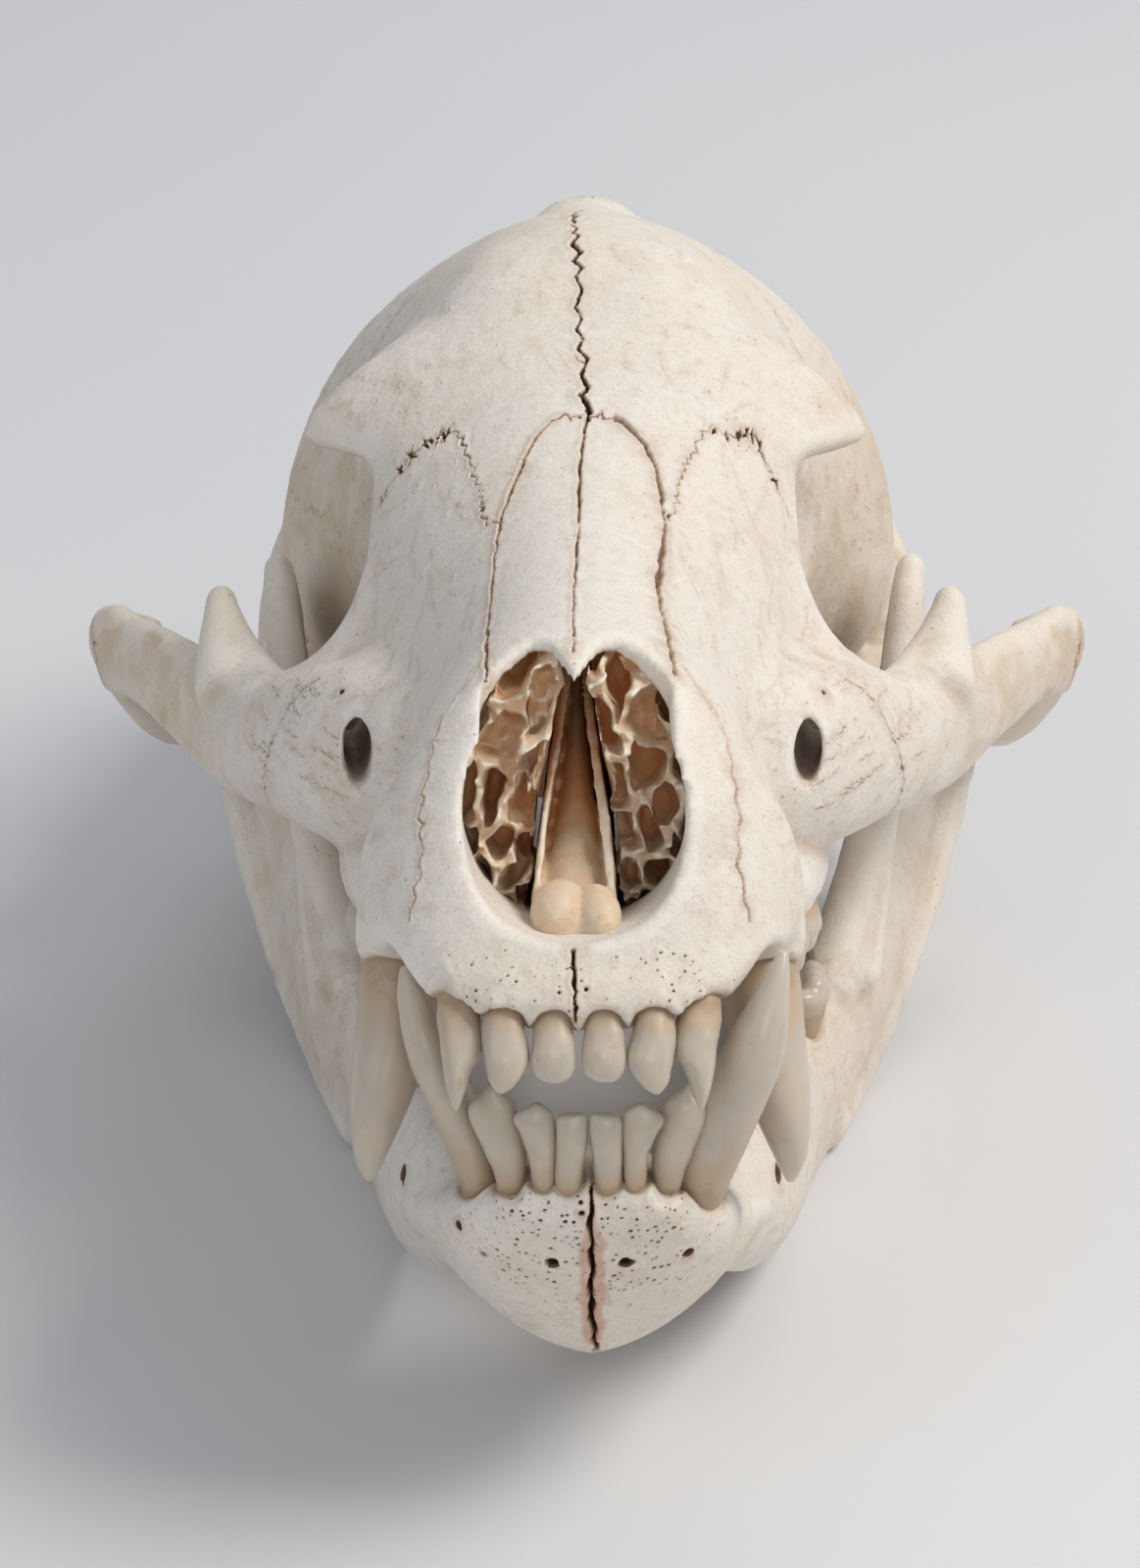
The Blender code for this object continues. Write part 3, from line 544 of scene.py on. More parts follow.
def carve(obj, marks, teeth=None):
    """Sinks the marks into the surface, roughens it and stores what the material reads."""
    rows = np.array(marks.rows)
    tree = KDTree(len(rows))
    for k, row in enumerate(rows):
        tree.insert(row[:3], k)
    tree.balance()
    points = spots(obj)
    index, far = nearest(tree, points, 3.0)
    close = far < np.where(rows[index, 3] > 0.14, 1.0 + rows[index, 3] * 0.6, 0.5)
    if teeth is not None:
        for k, point in enumerate(points):
            if not close[k]:
                close[k] = teeth.find_nearest(Vector(point), 1.6)[0] is not None
    refine(obj, close)
    points = spots(obj)
    away = normals(obj)
    relief = sum(height * noise(points, size, k + 1) for k, (height, size) in enumerate(RELIEF))
    index, far = nearest(tree, points, 4.0)
    row = rows[index]
    inside = index >= 0
    reach = np.where(inside, row[:, 3], 1.0)
    edge = 0.82 + 0.3 * noise(points, 0.9, 4)
    sunk = ease((1.12 - far / (reach * edge)) / 0.75)
    bold = reach > 0.14
    lip = bold * np.exp(-(((far - reach * 1.5) / (0.35 + reach * 0.4)) ** 2)) * 0.09
    depth = np.where(inside, row[:, 4] * sunk, 0)
    wide = np.where(reach > 0.8, 1.55, 1.3)
    crack = np.where(inside, row[:, 5] * ease((wide - far / (reach * edge)) / 0.8), 0)
    spread = 0.3 + reach * 2.6 + 0.7 * noise(points, 2.3, 5)
    stain = np.where(inside, row[:, 6] * np.exp(-((far / np.maximum(spread, 0.3)) ** 2)), 0)
    socket = np.zeros(len(points))
    if teeth is not None:
        for k, point in enumerate(points):
            found = teeth.find_nearest(Vector(point), 2.4)
            if found[0] is not None:
                socket[k] = max(0.0, 1 - found[3] / 2.4)
        ring = ease((socket - 0.70) / 0.2)
        depth = np.maximum(depth, 0.45 * ring)
        rim = np.exp(-(((socket - 0.45) / 0.2) ** 2)) * (socket > 0)
        relief += 0.22 * rim * (0.6 + 0.7 * noise(points, 1.1, 6))
    moved = grow(obj, relief + lip * inside - depth)
    paint_hollow(obj, moved, away, 14, 1.6)
    paint(obj, "crack", crack)
    paint(obj, "stain", stain)
    paint(obj, "socket", socket)
    obj.data.shade_smooth()
    return moved


# The cranium

# Stations of the face, the forehead's shield and the braincase: y, half width, top, widest
# level, bottom and, for the shield, how square
FACE = [
    (-1, 11, 4, 1.5, -1),
    (3, 17.5, 9.5, 3.5, -1.5),
    (9, 22.5, 22.5, 6, -1),
    (16, 26, 35, 8, 0),
    (23, 27.5, 42.5, 9, 1),
    (34, 26, 47.5, 10, 1),
    (47, 24, 51.5, 12, 1),
    (62, 26, 58, 16, 1),
    (76, 30, 64, 24, 2),
    (90, 31, 71, 40, 4),
    (102, 31, 79.5, 54, 8),
    (112, 31, 86, 60, 12),
]
SHIELD = [
    (94, 24, 73, 62, 55, 1.7),
    (100, 30, 78.5, 63, 56, 1.6),
    (106, 36, 82.5, 64, 58, 1.5),
    (112, 41, 86, 64.5, 58.5, 1.5),
    (117, 40, 88, 65, 59, 1.5),
    (123, 35.5, 90.5, 65, 58, 1.6),
    (132, 33, 93.5, 63, 56, 1.8),
    (142, 33, 95, 60, 50, 2),
]
BRAINCASE = [
    (100, 24, 76, 58, 20),
    (112, 30, 87, 62, 14),
    (126, 31.5, 93, 60, 12),
    (140, 34.5, 96, 52, 10),
    (154, 39.5, 96, 47, 9),
    (164, 45, 95, 43, 9),
    (175, 48.5, 93.5, 41, 9),
    (190, 48.5, 91, 40, 9),
    (206, 46, 86, 38, 8),
    (221, 42.5, 79, 36, 7),
    (233, 37, 71, 34, 8),
    (240, 29, 63, 33, 13),
]
ARCH_FRONT = [
    (21, 62, 24.5),
    (32, 76, 23.5),
    (42, 91, 22.4),
    (50.5, 107, 22),
    (58.5, 122, 26),
    (66, 135, 29),
    (70.5, 145, 29.2),
    (72.4, 151, 29),
]
ARCH_FRONT_SIZES = [(11, 7), (13, 8.5), (10, 6.4), (8.7, 4.6), (8.2, 4), (6.9, 3.8), (6.8, 3.4), (7.0, 3.0)]
ARCH_BACK = [(70, 139, 36), (73, 149, 32), (71.5, 160, 26), (66, 171, 18.5), (57, 182, 15.5), (44, 190, 18)]
ARCH_BACK_SIZES = [(1.4, 2), (4.4, 3.4), (5.6, 3.8), (6.4, 5), (7, 9), (8, 10)]

# Stations of the nasal passage, from the aperture to the choanae
PASSAGE = [
    (-12, APERTURE_HALF_WIDTH - 1.5, 30, 19, 7, 2.2),
    (4, APERTURE_HALF_WIDTH - 1, 34, 20, 9.6, 2.2),
    (16, APERTURE_HALF_WIDTH, 37.4, 25, 9.9, 2.2),
    (27, APERTURE_HALF_WIDTH + 0.6, 42.6, 26, 9, 2.2),
    (34, APERTURE_HALF_WIDTH + 0.6, 45.0, 26, 8.2, 2.2),
    (47, APERTURE_HALF_WIDTH + 0.4, 48.2, 26, 7, 2.2),
    (66, APERTURE_HALF_WIDTH - 0.4, 50, 25, 6.5, 2.2),
    (84, APERTURE_HALF_WIDTH - 3, 38, 20, 6, 2.2),
    (104, 10, 24, 13, 5, 2.2),
    (124, 9, 15, 9, 1, 2.2),
    (146, 9, 11, 4, -6, 2.2),
    (158, 9, 8, 0, -12, 2.2),
]


def cranium_trunk():
    """The face and braincase without the arches, hollowed for the eyes."""
    alveolar = [(23, 22, 6), (22, 42, 6), (24, 60, 6), (27.5, 78, 7), (28, 98, 8), (25, 117, 10)]
    pieces = [
        trunk("face", FACE),
        trunk("braincase", BRAINCASE),
        *both_sides(rod("alveolar", alveolar, [(6, 6), (6, 5.5), (6, 6), (7, 6.5), (7, 6.5), (5, 4)])),
        *both_sides(ball("zygoma_root", (29, 77, 24), (9, 13, 14))),
    ]
    obj = joined("cranium", pieces)
    remesh(obj, FORM_VOXEL, 18)
    sockets = both_sides(ball("socket", (46.5, 117, 47), (23.5, 28, 22), rings=32))
    return boolean(obj, sockets, "DIFFERENCE")


def cranium_pieces():
    """What grows from the trunk: arches, crests, processes and condyles."""
    nuchal = [(50, 207, 17), (49, 216, 36), (38, 230, 55), (18, 240, 65), (0, 243, 68)]
    nuchal_sizes = [(4, 5), (3.4, 5), (3.4, 5), (4, 5), (4.5, 6)]
    jugal_process = [(50.5, 107, 28), (52.4, 112.5, 34.5), (53.3, 117, 42.4)]
    orbital_edge = [
        (51.8, 114, 39),
        (48.8, 109.5, 33.6),
        (44.4, 101, 29.6),
        (39.8, 95, 29.8),
        (35.6, 90, 33.6),
    ]
    jugal_end = [(71.6, 150, 22.5), (71.9, 150.5, 29), (71.2, 149.5, 36.5)]
    jugal_hump = [(66.5, 143.5, 30), (66.2, 143, 35.2)]
    rim = [(41, 90.5, 28), (34.5, 88.5, 31.5), (29, 88.5, 39), (26.5, 91, 48)]
    pterygoid = [(12, 112, 9), (11.5, 130, 8), (11.5, 148, 6), (12, 158, 0)]
    crest = [(0, 152, 94.5), (0, 160, 95), (0, 180, 93), (0, 205, 86.5), (0, 242, 68)]
    mastoid = [(46, 206, 24), (48, 206, 10), (48.5, 204, -1)]
    paroccipital = [(28, 222, 16), (29, 223, 6), (30, 223, -3)]
    ear_tube = [(30, 197, 10), (42, 196, 12), (50, 195, 13)]
    return [
        trunk("shield", SHIELD),
        *both_sides(rod("arch_front", ARCH_FRONT, ARCH_FRONT_SIZES)),
        *both_sides(rod("arch_back", ARCH_BACK, ARCH_BACK_SIZES)),
        *both_sides(rod("jugal_process", jugal_process, [(7, 6.4), (4.4, 3.9), (2.7, 2.3)], ALONG)),
        *both_sides(rod("orbital_edge", orbital_edge, [(2, 2), (2.6, 2.8), (3, 3.2), (3, 3.2), (3, 3)])),
        *both_sides(rod("orbital_rim", rim, [(5.5, 5.5), (6.5, 5.5), (5.5, 5), (4.5, 4.2)], ALONG)),
        *both_sides(rod("jugal_end", jugal_end, [(3.2, 2.6), (3.6, 3.0), (2.6, 2.2)], ALONG)),
        *both_sides(rod("jugal_hump", jugal_hump, [(3.4, 2.8), (2.6, 2.2)], ALONG)),
        *both_sides(rod("nuchal_crest", nuchal, nuchal_sizes, up=(0, -0.4, 1))),
        rod("sagittal_crest", crest, [(2, 6), (3.2, 7), (3, 5), (3, 4), (4, 4)]),
        *both_sides(ball("condyle", (12.5, 239, 14), (9, 8.5, 8.5))),
        *both_sides(rod("mastoid", mastoid, [(8, 8), (7, 6), (3, 3)], ALONG)),
        *both_sides(rod("paroccipital", paroccipital, [(6, 6), (4, 4), (2, 2)], ALONG)),
        *both_sides(ball("bulla", (27, 196, 9), (14, 14, 7))),
        *both_sides(rod("ear_tube", ear_tube, [(6, 6), (6, 6), (5.5, 5.5)])),
        *both_sides(ball("postglenoid", (49, 187, 7), (12, 3.2, 6.5))),
        *both_sides(rod("pterygoid", pterygoid, [(6, 2.4), (6, 2), (5.5, 2), (2, 1.5)])),
        ball("basicranium", (0, 185, 12), (17, 55, 9)),
    ]


CRANIUM_STROKES = [
    # hollow each side of the snout behind the canine bulge
    ((27, 46, 24), (10, 18, 16), (-2.0, 0, 0)),
    # canine root swelling
    ((27, 27, 16), (9, 12, 16), (1.6, 0, 0)),
    # the bone's edge behind the outer incisors
    ((22.5, 14, 2), (6.5, 8, 8), (0, 1.0, 3.4)),
    # flat of the forehead between the brows, with a dip at the midline
    ((0, 104, 84), (16, 26, 16), (0, 0, -1.2)),
    ((18, 122, 92), (14, 20, 14), (0, 0, 1.2)),
    # flat sides of the braincase behind the brows
    ((44, 140, 66), (16, 18, 18), (-1.0, 0, 0)),
]


def cranium():
    """The whole cranium with its openings."""
    skin = joined("cranium", [mesh_of(cranium_trunk()), *cranium_pieces()])
    remesh(skin, FORM_VOXEL, 15)
    press(skin, CRANIUM_STROKES)
    infraorbital = rod("infraorbital", [(29.6, 44, 24.3), (30.3, 62, 25.3), (32, 80, 27.3), (35, 100, 32)],
                       [(4.6, 1.9), (4.6, 1.9), (4.6, 2.2), (4.6, 2.4)])
    ear = rod("ear", [(34, 196, 12), (46, 195, 13), (64, 194, 14)], [(2.6, 2.6), (3.2, 3.2), (3.6, 3.6)])
    magnum = rod("magnum", [(0, 216, 22), (0, 234, 23), (0, 256, 22)], [(8, 9.5), (9, 11), (10, 12)])
    fossa = rod("fossa", [(32, *CONDYLE_AXIS), (66, *CONDYLE_AXIS)], [(5.6, 5.6), (5.6, 5.6)])
    boolean(skin, [shifted(trunk("passage", PASSAGE, steps=4), NOSE_SHIFT)], "DIFFERENCE")
    boolean(skin, [*both_sides(infraorbital), *both_sides(ear), magnum, *both_sides(fossa)], "DIFFERENCE")
    boolean(skin, [nasal_scallops()], "DIFFERENCE")
    boolean(skin, neck_cutters(), "DIFFERENCE")
    return remesh(skin, SKIN_VOXEL, 2)


def nasal_scallops():
    """What is cut from above out of the nasals' front ends: a lobe each side of the midline."""
    half = [(0, 21.2), (0.5, 21.7), (1.3, 23.4), (2.6, 26.2), (4.0, 28.4), (5.4, 29.0), (7.2, 28.5)]
    edge = half + [(9.2, 27.2), (12, 24.8), (12.2, -20)]
    outline = [(-x, y) for x, y in reversed(edge[1:])] + edge
    return shifted(prism("scallops", outline, 30, 70, "Z"), NOSE_SHIFT)


def neck_cutters():
    """What is cut from the bone's edge over each upper incisor's neck."""
    rows = [(3.1, 1.0, 2.7, 2.0), (9.0, 2.0, 2.7, 2.1), (15.0, 5.0, 3.0, 2.4)]
    cutters = []
    for x, y, wide, high in rows:
        cutters += both_sides(ball("neck", (x, y - 2.2, 0.2), (wide, 3.4, high)))
    return cutters


# The lower jaw, closed

# Stations of the chin: y, half width, top, widest level, bottom and how square
CHIN = [
    (4.5, 10.5, -8.7, -11.5, -14, 2),
    (9, 13.8, -7.8, -13.5, -21.5, 2),
    (16, 17, -8.2, -16, -30.5, 1.8),
    (24, 19.8, -9.5, -18, -37, 1.65),
    (32, 22, -12, -20.5, -40.2, 1.55),
    (42, 24, -15, -23, -40.8, 1.5),
    (50, 25.2, -18, -26, -40.6, 1.5),
]
JAW_BODY = [
    (14, 30, -21),
    (16.6, 45, -23),
    (20.6, 62, -26.5),
    (24.2, 80, -28),
    (27.2, 98, -28.3),
    (32.6, 116, -24.8),
    (38, 132, -19.4),
    (42, 148, -14),
]
JAW_BODY_SIZES = [
    (8.5, 5.5),
    (10, 6.8),
    (12, 7.4),
    (13.2, 6.8),
    (13.8, 5.9),
    (13.2, 5.5),
    (12, 4.2),
    (10, 2.5),
]
RAMUS = [
    (120, -12),
    (132, 4),
    (140, 22),
    (145, 36),
    (150, 42.5),
    (158, 43),
    (163, 38),
    (166, 30),
    (170, 17),
    (175, 11),
    (181, 7),
    (182.5, -4),
    (185, -14),
    (185.5, -20),
    (181, -23),
    (174, -21.5),
    (166, -19.5),
    (157, -21),
    (142, -27),
    (128, -32),
]
RAMUS_OUT = 43.3
FRONT_EDGE = [(34.3, 118, -14), (40.4, 131, 2), (44.8, 140, 20), (47.5, 147, 37), (48.4, 152, 42.4)]
FRONT_EDGE_SIZES = [(5, 4.5), (4.2, 4), (3.6, 3.4), (3.2, 2.8), (2.4, 2.2)]
LOWER_RIDGE = [
    (33, 114, -33),
    (39.8, 132, -28.5),
    (46.5, 149, -19.5),
    (51.5, 161, -10),
    (55, 170, -1),
    (57, 176, 5),
]
LOWER_RIDGE_SIZES = [(5, 5), (5, 3.4), (4.4, 3), (4, 3), (3.8, 3), (3.4, 3)]
RIDGE_WEB = [(37.5, 122, -22), (42.5, 138, -16), (46.5, 152, -8), (50, 164, 0), (52.5, 174, 6)]
JAW_STROKES = [
    # masseter hollow on the outside of the ramus
    ((50, 150, 2), (10, 17, 16), (-1.6, 0, 0)),
    # bulge over the root of each lower canine
    ((19, 16, -18), (8, 10, 12), (0.8, -0.8, 0)),
]


def ramus():
    """The upright plate behind the teeth, bowed outward as it rises."""
    plate = add_object("ramus", prism("ramus", RAMUS, -2.4, 2.4))
    points = spots(plate)
    points[:, 0] += RAMUS_OUT + 0.05 * (points[:, 1] - 150) + 0.11 * points[:, 2]
    set_spots(plate, points)
    return mesh_of(plate)


def jaw():
    """The lower jaw in one piece, closed."""
    condyle = [(37, *CONDYLE_AXIS), (48, *CONDYLE_AXIS), (60.5, *CONDYLE_AXIS)]
    neck = [(47, 177, 6), (46.5, 176, -4), (44, 172, -14)]
    angular = [(42, 164, -18), (43.5, 176, -18.5), (44.5, 184, -19)]
    pieces = [
        trunk("chin", CHIN),
        *both_sides(rod("jaw_body", JAW_BODY, JAW_BODY_SIZES)),
        *both_sides(ramus()),
        *both_sides(ball("coronoid", (48.5, 154.5, 42.6), (2.5, 5, 3.6))),
        *both_sides(rod("front_edge", FRONT_EDGE, FRONT_EDGE_SIZES)),
        *both_sides(rod("lower_ridge", LOWER_RIDGE, LOWER_RIDGE_SIZES)),
        *both_sides(rod("ridge_web", RIDGE_WEB, [(9, 3.4), (10.5, 3.2), (10.5, 3.0), (8, 2.6), (5, 2.6)])),
        *both_sides(rod("angular", angular, [(3.5, 5), (3.4, 4), (2.6, 3)])),
        *both_sides(rod("jaw_condyle", condyle, [(3.6, 3.6), (4.8, 4.8), (3.4, 3.4)])),
        *both_sides(rod("neck", neck, [(4, 7), (4, 5), (4, 3)], ALONG)),
    ]
    obj = joined("jaw", pieces)
    remesh(obj, SKIN_VOXEL, 18)
    press(obj, JAW_STROKES)
    boolean(obj, gum_cutters(), "DIFFERENCE")
    return remesh(obj, SKIN_VOXEL, 1)


def gum_cutters():
    """What is cut from the chin's edge in front of each lower incisor."""
    rows = [(2.1, 2.4, 1.9, 1.6), (5.8, 3.2, 1.8, 1.3), (10.0, 5.2, 2.1, 2.9)]
    cutters = []
    for x, y, wide, high in rows:
        cutters += [ball("gum", (side * x, y, -9.0), (wide, 3.2, high)) for side in (1, -1)]
    return cutters


# Teeth


def tooth(path, sizes, side, steps=7, sides=44):
    mesh = rod("tooth", path, sizes, ALONG, steps, sides)
    return mesh if side > 0 else mirrored(mesh)


# Outlines of the incisors from the front, x and z, from the inner side of the root round the tip
# to the outer side. Each has its level on the bone, its y at the root and tip, and half its depth.
UPPER_INCISORS = [
    (
        [(1.6, 5), (1.0, 2), (0.9, -0.8), (0.45, -3.2), (0.4, -4.9), (1.0, -6.3), (2.6, -7.0)]
        + [(4.4, -6.9), (5.4, -5.8), (5.8, -4.2), (5.5, -2.5), (5.4, -0.6), (4.9, 2), (4.2, 5)],
        1.0, (7.5, -0.6), 2.9,
    ),
    (
        [(7.9, 5), (7.3, 2), (7.1, -0.8), (6.3, -3.2), (6.1, -4.7), (7.0, -6.2), (8.3, -7.7), (9.7, -8.3)]
        + [(10.9, -7.1), (11.5, -4.8), (11.8, -2), (11.5, 0.4), (10.9, 2), (10.2, 5)],
        1.0, (7.6, -0.5), 3.0,
    ),
    (
        [(13.6, 6), (12.9, 3.4), (12.2, -0.6), (11.7, -3.2), (12.1, -4.6), (13.3, -5.8), (14.2, -8.6)]
        + [(15.2, -10.9), (16.2, -8), (17.0, -3), (17.5, 1), (17.2, 3.4), (16.4, 6)],
        1.0, (11.0, 1.7), 3.6,
    ),
]
LOWER_INCISORS = [
    (
        [(1.5, -13.5), (0.9, -8), (0.4, -3.5), (0.2, 0), (0.5, 0.9), (3.3, 0.9), (3.9, 0), (3.9, -3.5)]
        + [(4.1, -8), (3.6, -13.5)],
        -9.2, (12.0, 3.2), 2.6,
    ),
    (
        [(4.9, -13.5), (4.4, -8.5), (4.3, -4.5), (4.1, -0.6), (4.6, 0.9), (6.4, 2.0), (7.7, 1.3)]
        + [(9.1, 0.7), (9.4, -0.6), (8.1, -2.6), (7.3, -5), (7.1, -8.5), (6.6, -13.5)],
        -9.2, (12.6, 4.0), 2.8,
    ),
    (
        [(8.8, -14), (7.9, -9), (8.2, -5), (8.9, -1.5), (9.1, 1.0), (10.5, 2.4), (12.2, 3.9), (13.2, 2.2)]
        + [(14.8, 1.0), (14.7, -1.2), (13.3, -4.7), (11.8, -8.5), (11.0, -14)],
        -9.8, (15.0, 6.0), 3.0,
    ),
]
# Shares of the way from root to tip where an incisor has its sections, and its depth by level
INCISOR_RUNS = (0, 0.2, 0.36, 0.48, 0.56, 0.63, 0.69, 0.75, 0.8, 0.85, 0.89, 0.93, 0.96, 0.98, 1.0)
INCISOR_DEPTHS = ([-1, -0.2, 0.15, 0.5, 0.8, 1], [0.6, 0.86, 1, 0.92, 0.6, 0.26])


def incisors(side, rows, seed):
    """The three incisors of one side, full in the round, of the given outlines."""
    teeth = []
    for k, (outline, gum, (root_y, tip_y), deepest) in enumerate(rows):
        way = 1 if outline[0][1] < gum else -1
        levels = np.array([way * z for _, z in outline])
        tip = int(levels.argmax())
        xs = np.array([x for x, _ in outline])
        rings = []
        for run in INCISOR_RUNS:
            level = levels[0] + (levels[tip] - levels[0]) * run
            inner = float(np.interp(level, levels[: tip + 1], xs[: tip + 1]))
            outer = float(np.interp(level, levels[tip:][::-1], xs[tip:][::-1]))
            out = (level - way * gum) / (levels[tip] - way * gum)
            deep = deepest * float(np.interp(out, *INCISOR_DEPTHS))
            y = tip_y + (root_y - tip_y) * min(max((1 - out) / 2, 0), 1) ** 1.3
            middle, half = (inner + outer) / 2, max((outer - inner) / 2, 0.2) + 0.24
            ring = []
            for step in range(CROWN_POINTS):
                angle = 2 * pi * step / CROWN_POINTS
                x = middle + half * power(cos(angle), 0.84)
                ring.append((x, y + deep * power(sin(angle), 0.84), way * level))
            rings.append(ring)
        crown = joined("crown", [closed_mesh("crown", rings)])
        crown.data.transform(Matrix.Scale(side, 4, Vector((1, 0, 0))))
        if side < 0:
            crown.data.flip_normals()
        remesh(crown, 0.34, 4)
        grow(crown, 0.22 * noise(spots(crown) * (1, 1, 0.5), 2.3, seed + k))
        teeth.append((mesh_of(crown), (xs[tip] * side, tip_y, gum, way * levels[tip])))
    return teeth


def canine(side, upper):
    """One canine, curved back toward its tip. The lower left one stands taller."""
    if upper:
        path = [
            (21.5, 38, 16),
            (22.6, 29, 4),
            (24, 23.5, -6),
            (25.7, 21, -14),
            (26.9, 21.3, -20.6),
            (27, 22.4, -24.4),
        ]
        sizes = [(4, 3.4), (7.4, 5.2), (6.8, 4.9), (5.1, 3.8), (2.8, 2.2), (0.6, 0.6)]
        gum, tip = 0.0, -24.4
    else:
        tall, lean, back, stout = (0.95, -0.45, 4.5, 0.0) if side < 0 else (1.14, 0.0, 0.0, 1.0)
        path = [
            (11.6, 26 + 0.2 * back, -24),
            (13.5, 16.5 + 0.4 * back, -12),
            (16.7, 10.0 + 0.8 * back, -2 * tall),
            (20.6 + lean, 7.0 + back, 7 * tall),
            (23.1 + 2 * lean, 7.0 + 1.1 * back, 14 * tall),
            (24.2 + 2.2 * lean, 7.8 + 1.2 * back, 18 * tall),
        ]
        sizes = [(4, 2.6), (5.4, 3.1 + stout), (5.0, 3.1 + stout), (4.0, 2.8 + stout), (2.4, 1.9), (0.6, 0.6)]
        gum, tip = -9.0, 18 * tall
    return [(tooth(path, sizes, side), (path[3][0] * side, path[3][1], gum, tip))]


def cheek_teeth(side, upper):
    """The row of broad cheek teeth of one side, each a crown with cusps."""
    if upper:
        rows = [
            # y, x, half length, half width, height, cusps along
            (46, 23.5, 2.2, 1.8, 3, 1),
            (71, 27, 5.6, 4.2, 7, 2),
            (85.5, 28, 8, 5.6, 6.5, 2),
            (107, 27.6, 12.5, 6, 5.5, 3),
        ]
        gum, way = 1.0, -1
    else:
        rows = [
            (47, 17.5, 2.0, 1.6, 2.6, 1),
            (75, 23, 4.6, 2.8, 5.5, 1),
            (89, 26, 9, 4, 6, 3),
            (107, 30, 8.4, 4.8, 5, 3),
            (122, 34.5, 5.4, 4.2, 3.6, 2),
        ]
        gum, way = -12.5, 1
    teeth = []
    for y, x, long, wide, high, cusps in rows:
        path = [(x, y, gum + way * out) for out in (-5, 0.3, high * 0.5, high * 0.7)]
        shares = ((0.6, 0.6), (0.92, 0.9), (1, 1), (0.85, 0.75))
        sizes = [(long * length, wide * width) for length, width in shares]
        pieces = [rod("tooth", path, sizes, ALONG, steps=5, sides=32)]
        for k in range(cusps):
            along = y + long * 1.5 * ((k + 0.5) / cusps - 0.5)
            for row in (1, -1) if wide > 2 else (0,):
                centre = (x + row * wide * 0.45, along, gum + way * high * 0.62)
                radii = (wide * 0.42, long * 0.75 / cusps, high * (0.42 if row > 0 else 0.34))
                pieces.append(ball("cusp", centre, radii, rings=10))
        crown = joined("crown", pieces)
        remesh(crown, 0.5, 2)
        mesh = mesh_of(crown)
        teeth.append((mesh if side > 0 else mirrored(mesh), (x * side, y, gum, gum + way * high)))
    return teeth


def tooth_row(name, teeth):
    """Joins teeth into one piece and stores how far up its crown each vertex is."""
    piece = joined(name, [mesh for mesh, _ in teeth])
    points = spots(piece)
    marks = np.array([mark for _, mark in teeth])
    away = ((points[:, None, :2] - marks[None, :, :2]) ** 2).sum(axis=2)
    own = marks[away.argmin(axis=1)]
    crown = (points[:, 2] - own[:, 2]) / (own[:, 3] - own[:, 2])
    moved = grow(piece, 0.05 * noise(points, 1.6, 11) + 0.03 * noise(points * (1, 1, 0.25), 0.7, 12))
    paint_hollow(piece, moved, normals(piece), 10, 3.0)
    paint(piece, "crown", np.clip(crown, -0.5, 1.0))
    piece.data.shade_smooth()
    return piece


# Inside the nose


def passage_at(y):
    """Half width, top, widest level and bottom of the nasal passage at y."""
    table = np.array(PASSAGE)
    return [float(np.interp(y, table[:, 0], table[:, k])) for k in (1, 2, 3, 4)]


def vomer():
    """The trough along the floor of the nose, its two thin plates and its rounded front."""
    floor = [
        (13, 5.2, 13.6, 10, 8.5),
        (20, 5.0, 16.0, 10, 8),
        (28, 4.6, 20.0, 10, 7.6),
        (38, 3.8, 25.0, 10, 7),
        (50, 2.8, 31.0, 10, 6.5),
        (62, 2.2, 37.0, 10, 6.4),
        (70, 2.0, 41.0, 10, 6),
    ]
    pieces = [trunk("floor", floor, steps=3, points=32)]
    plate = [(11.5, 11.5), (14.5, 14), (24, 22.5), (36, 32), (48, 40), (60, 47.5)]
    plate += [(80, 46), (80, 16), (40, 12)]
    for side in (1, -1):
        wall = add_object("plate", prism("plate", plate, -0.45, 0.45))
        points = spots(wall)
        lean = np.interp(points[:, 2], [11, 15, 23, 31, 40, 48], [5.1, 4.6, 3.9, 1.9, 0.7, 0.5])
        points[:, 0] += lean
        points[:, 0] *= side
        set_spots(wall, points)
        if side < 0:
            wall.data.flip_normals()
        pieces.append(mesh_of(wall))
    pieces += [
        ball("lobe", (2.9, 12.2, 11.7), (2.9, 5.0, 3.5), turn=(24, 0, 8)),
        ball("lobe", (-1.9, 12.6, 11.8), (3.6, 5.4, 3.9), turn=(24, 0, -6)),
        ball("web", (0.4, 13.4, 11.4), (4.9, 5.0, 3.2), turn=(24, 0, 0)),
        prism("back", [(-1.2, 47), (-3.8, 15), (3.8, 15), (1.2, 47)], 70, 72, "Y"),
    ]
    obj = joined("nasal_ridge", pieces)
    remesh(obj, 0.4, 2)
    points = spots(obj)
    grow(obj, 0.16 * noise(points, 2.6, 21) + 0.07 * noise(points, 1.1, 22))
    shade_inside(obj)
    shifted(obj.data, NOSE_SHIFT)
    return obj


def clipped(shape, middle, ahead):
    """The part of a convex outline behind a line through middle, square to ahead."""
    kept = []
    for k, here in enumerate(shape):
        last = shape[k - 1]
        a, b = (last - middle) @ ahead, (here - middle) @ ahead
        if (a < 0) != (b < 0):
            kept.append(last + (here - last) * (a / (a - b)))
        if b < 0:
            kept.append(here)
    return kept


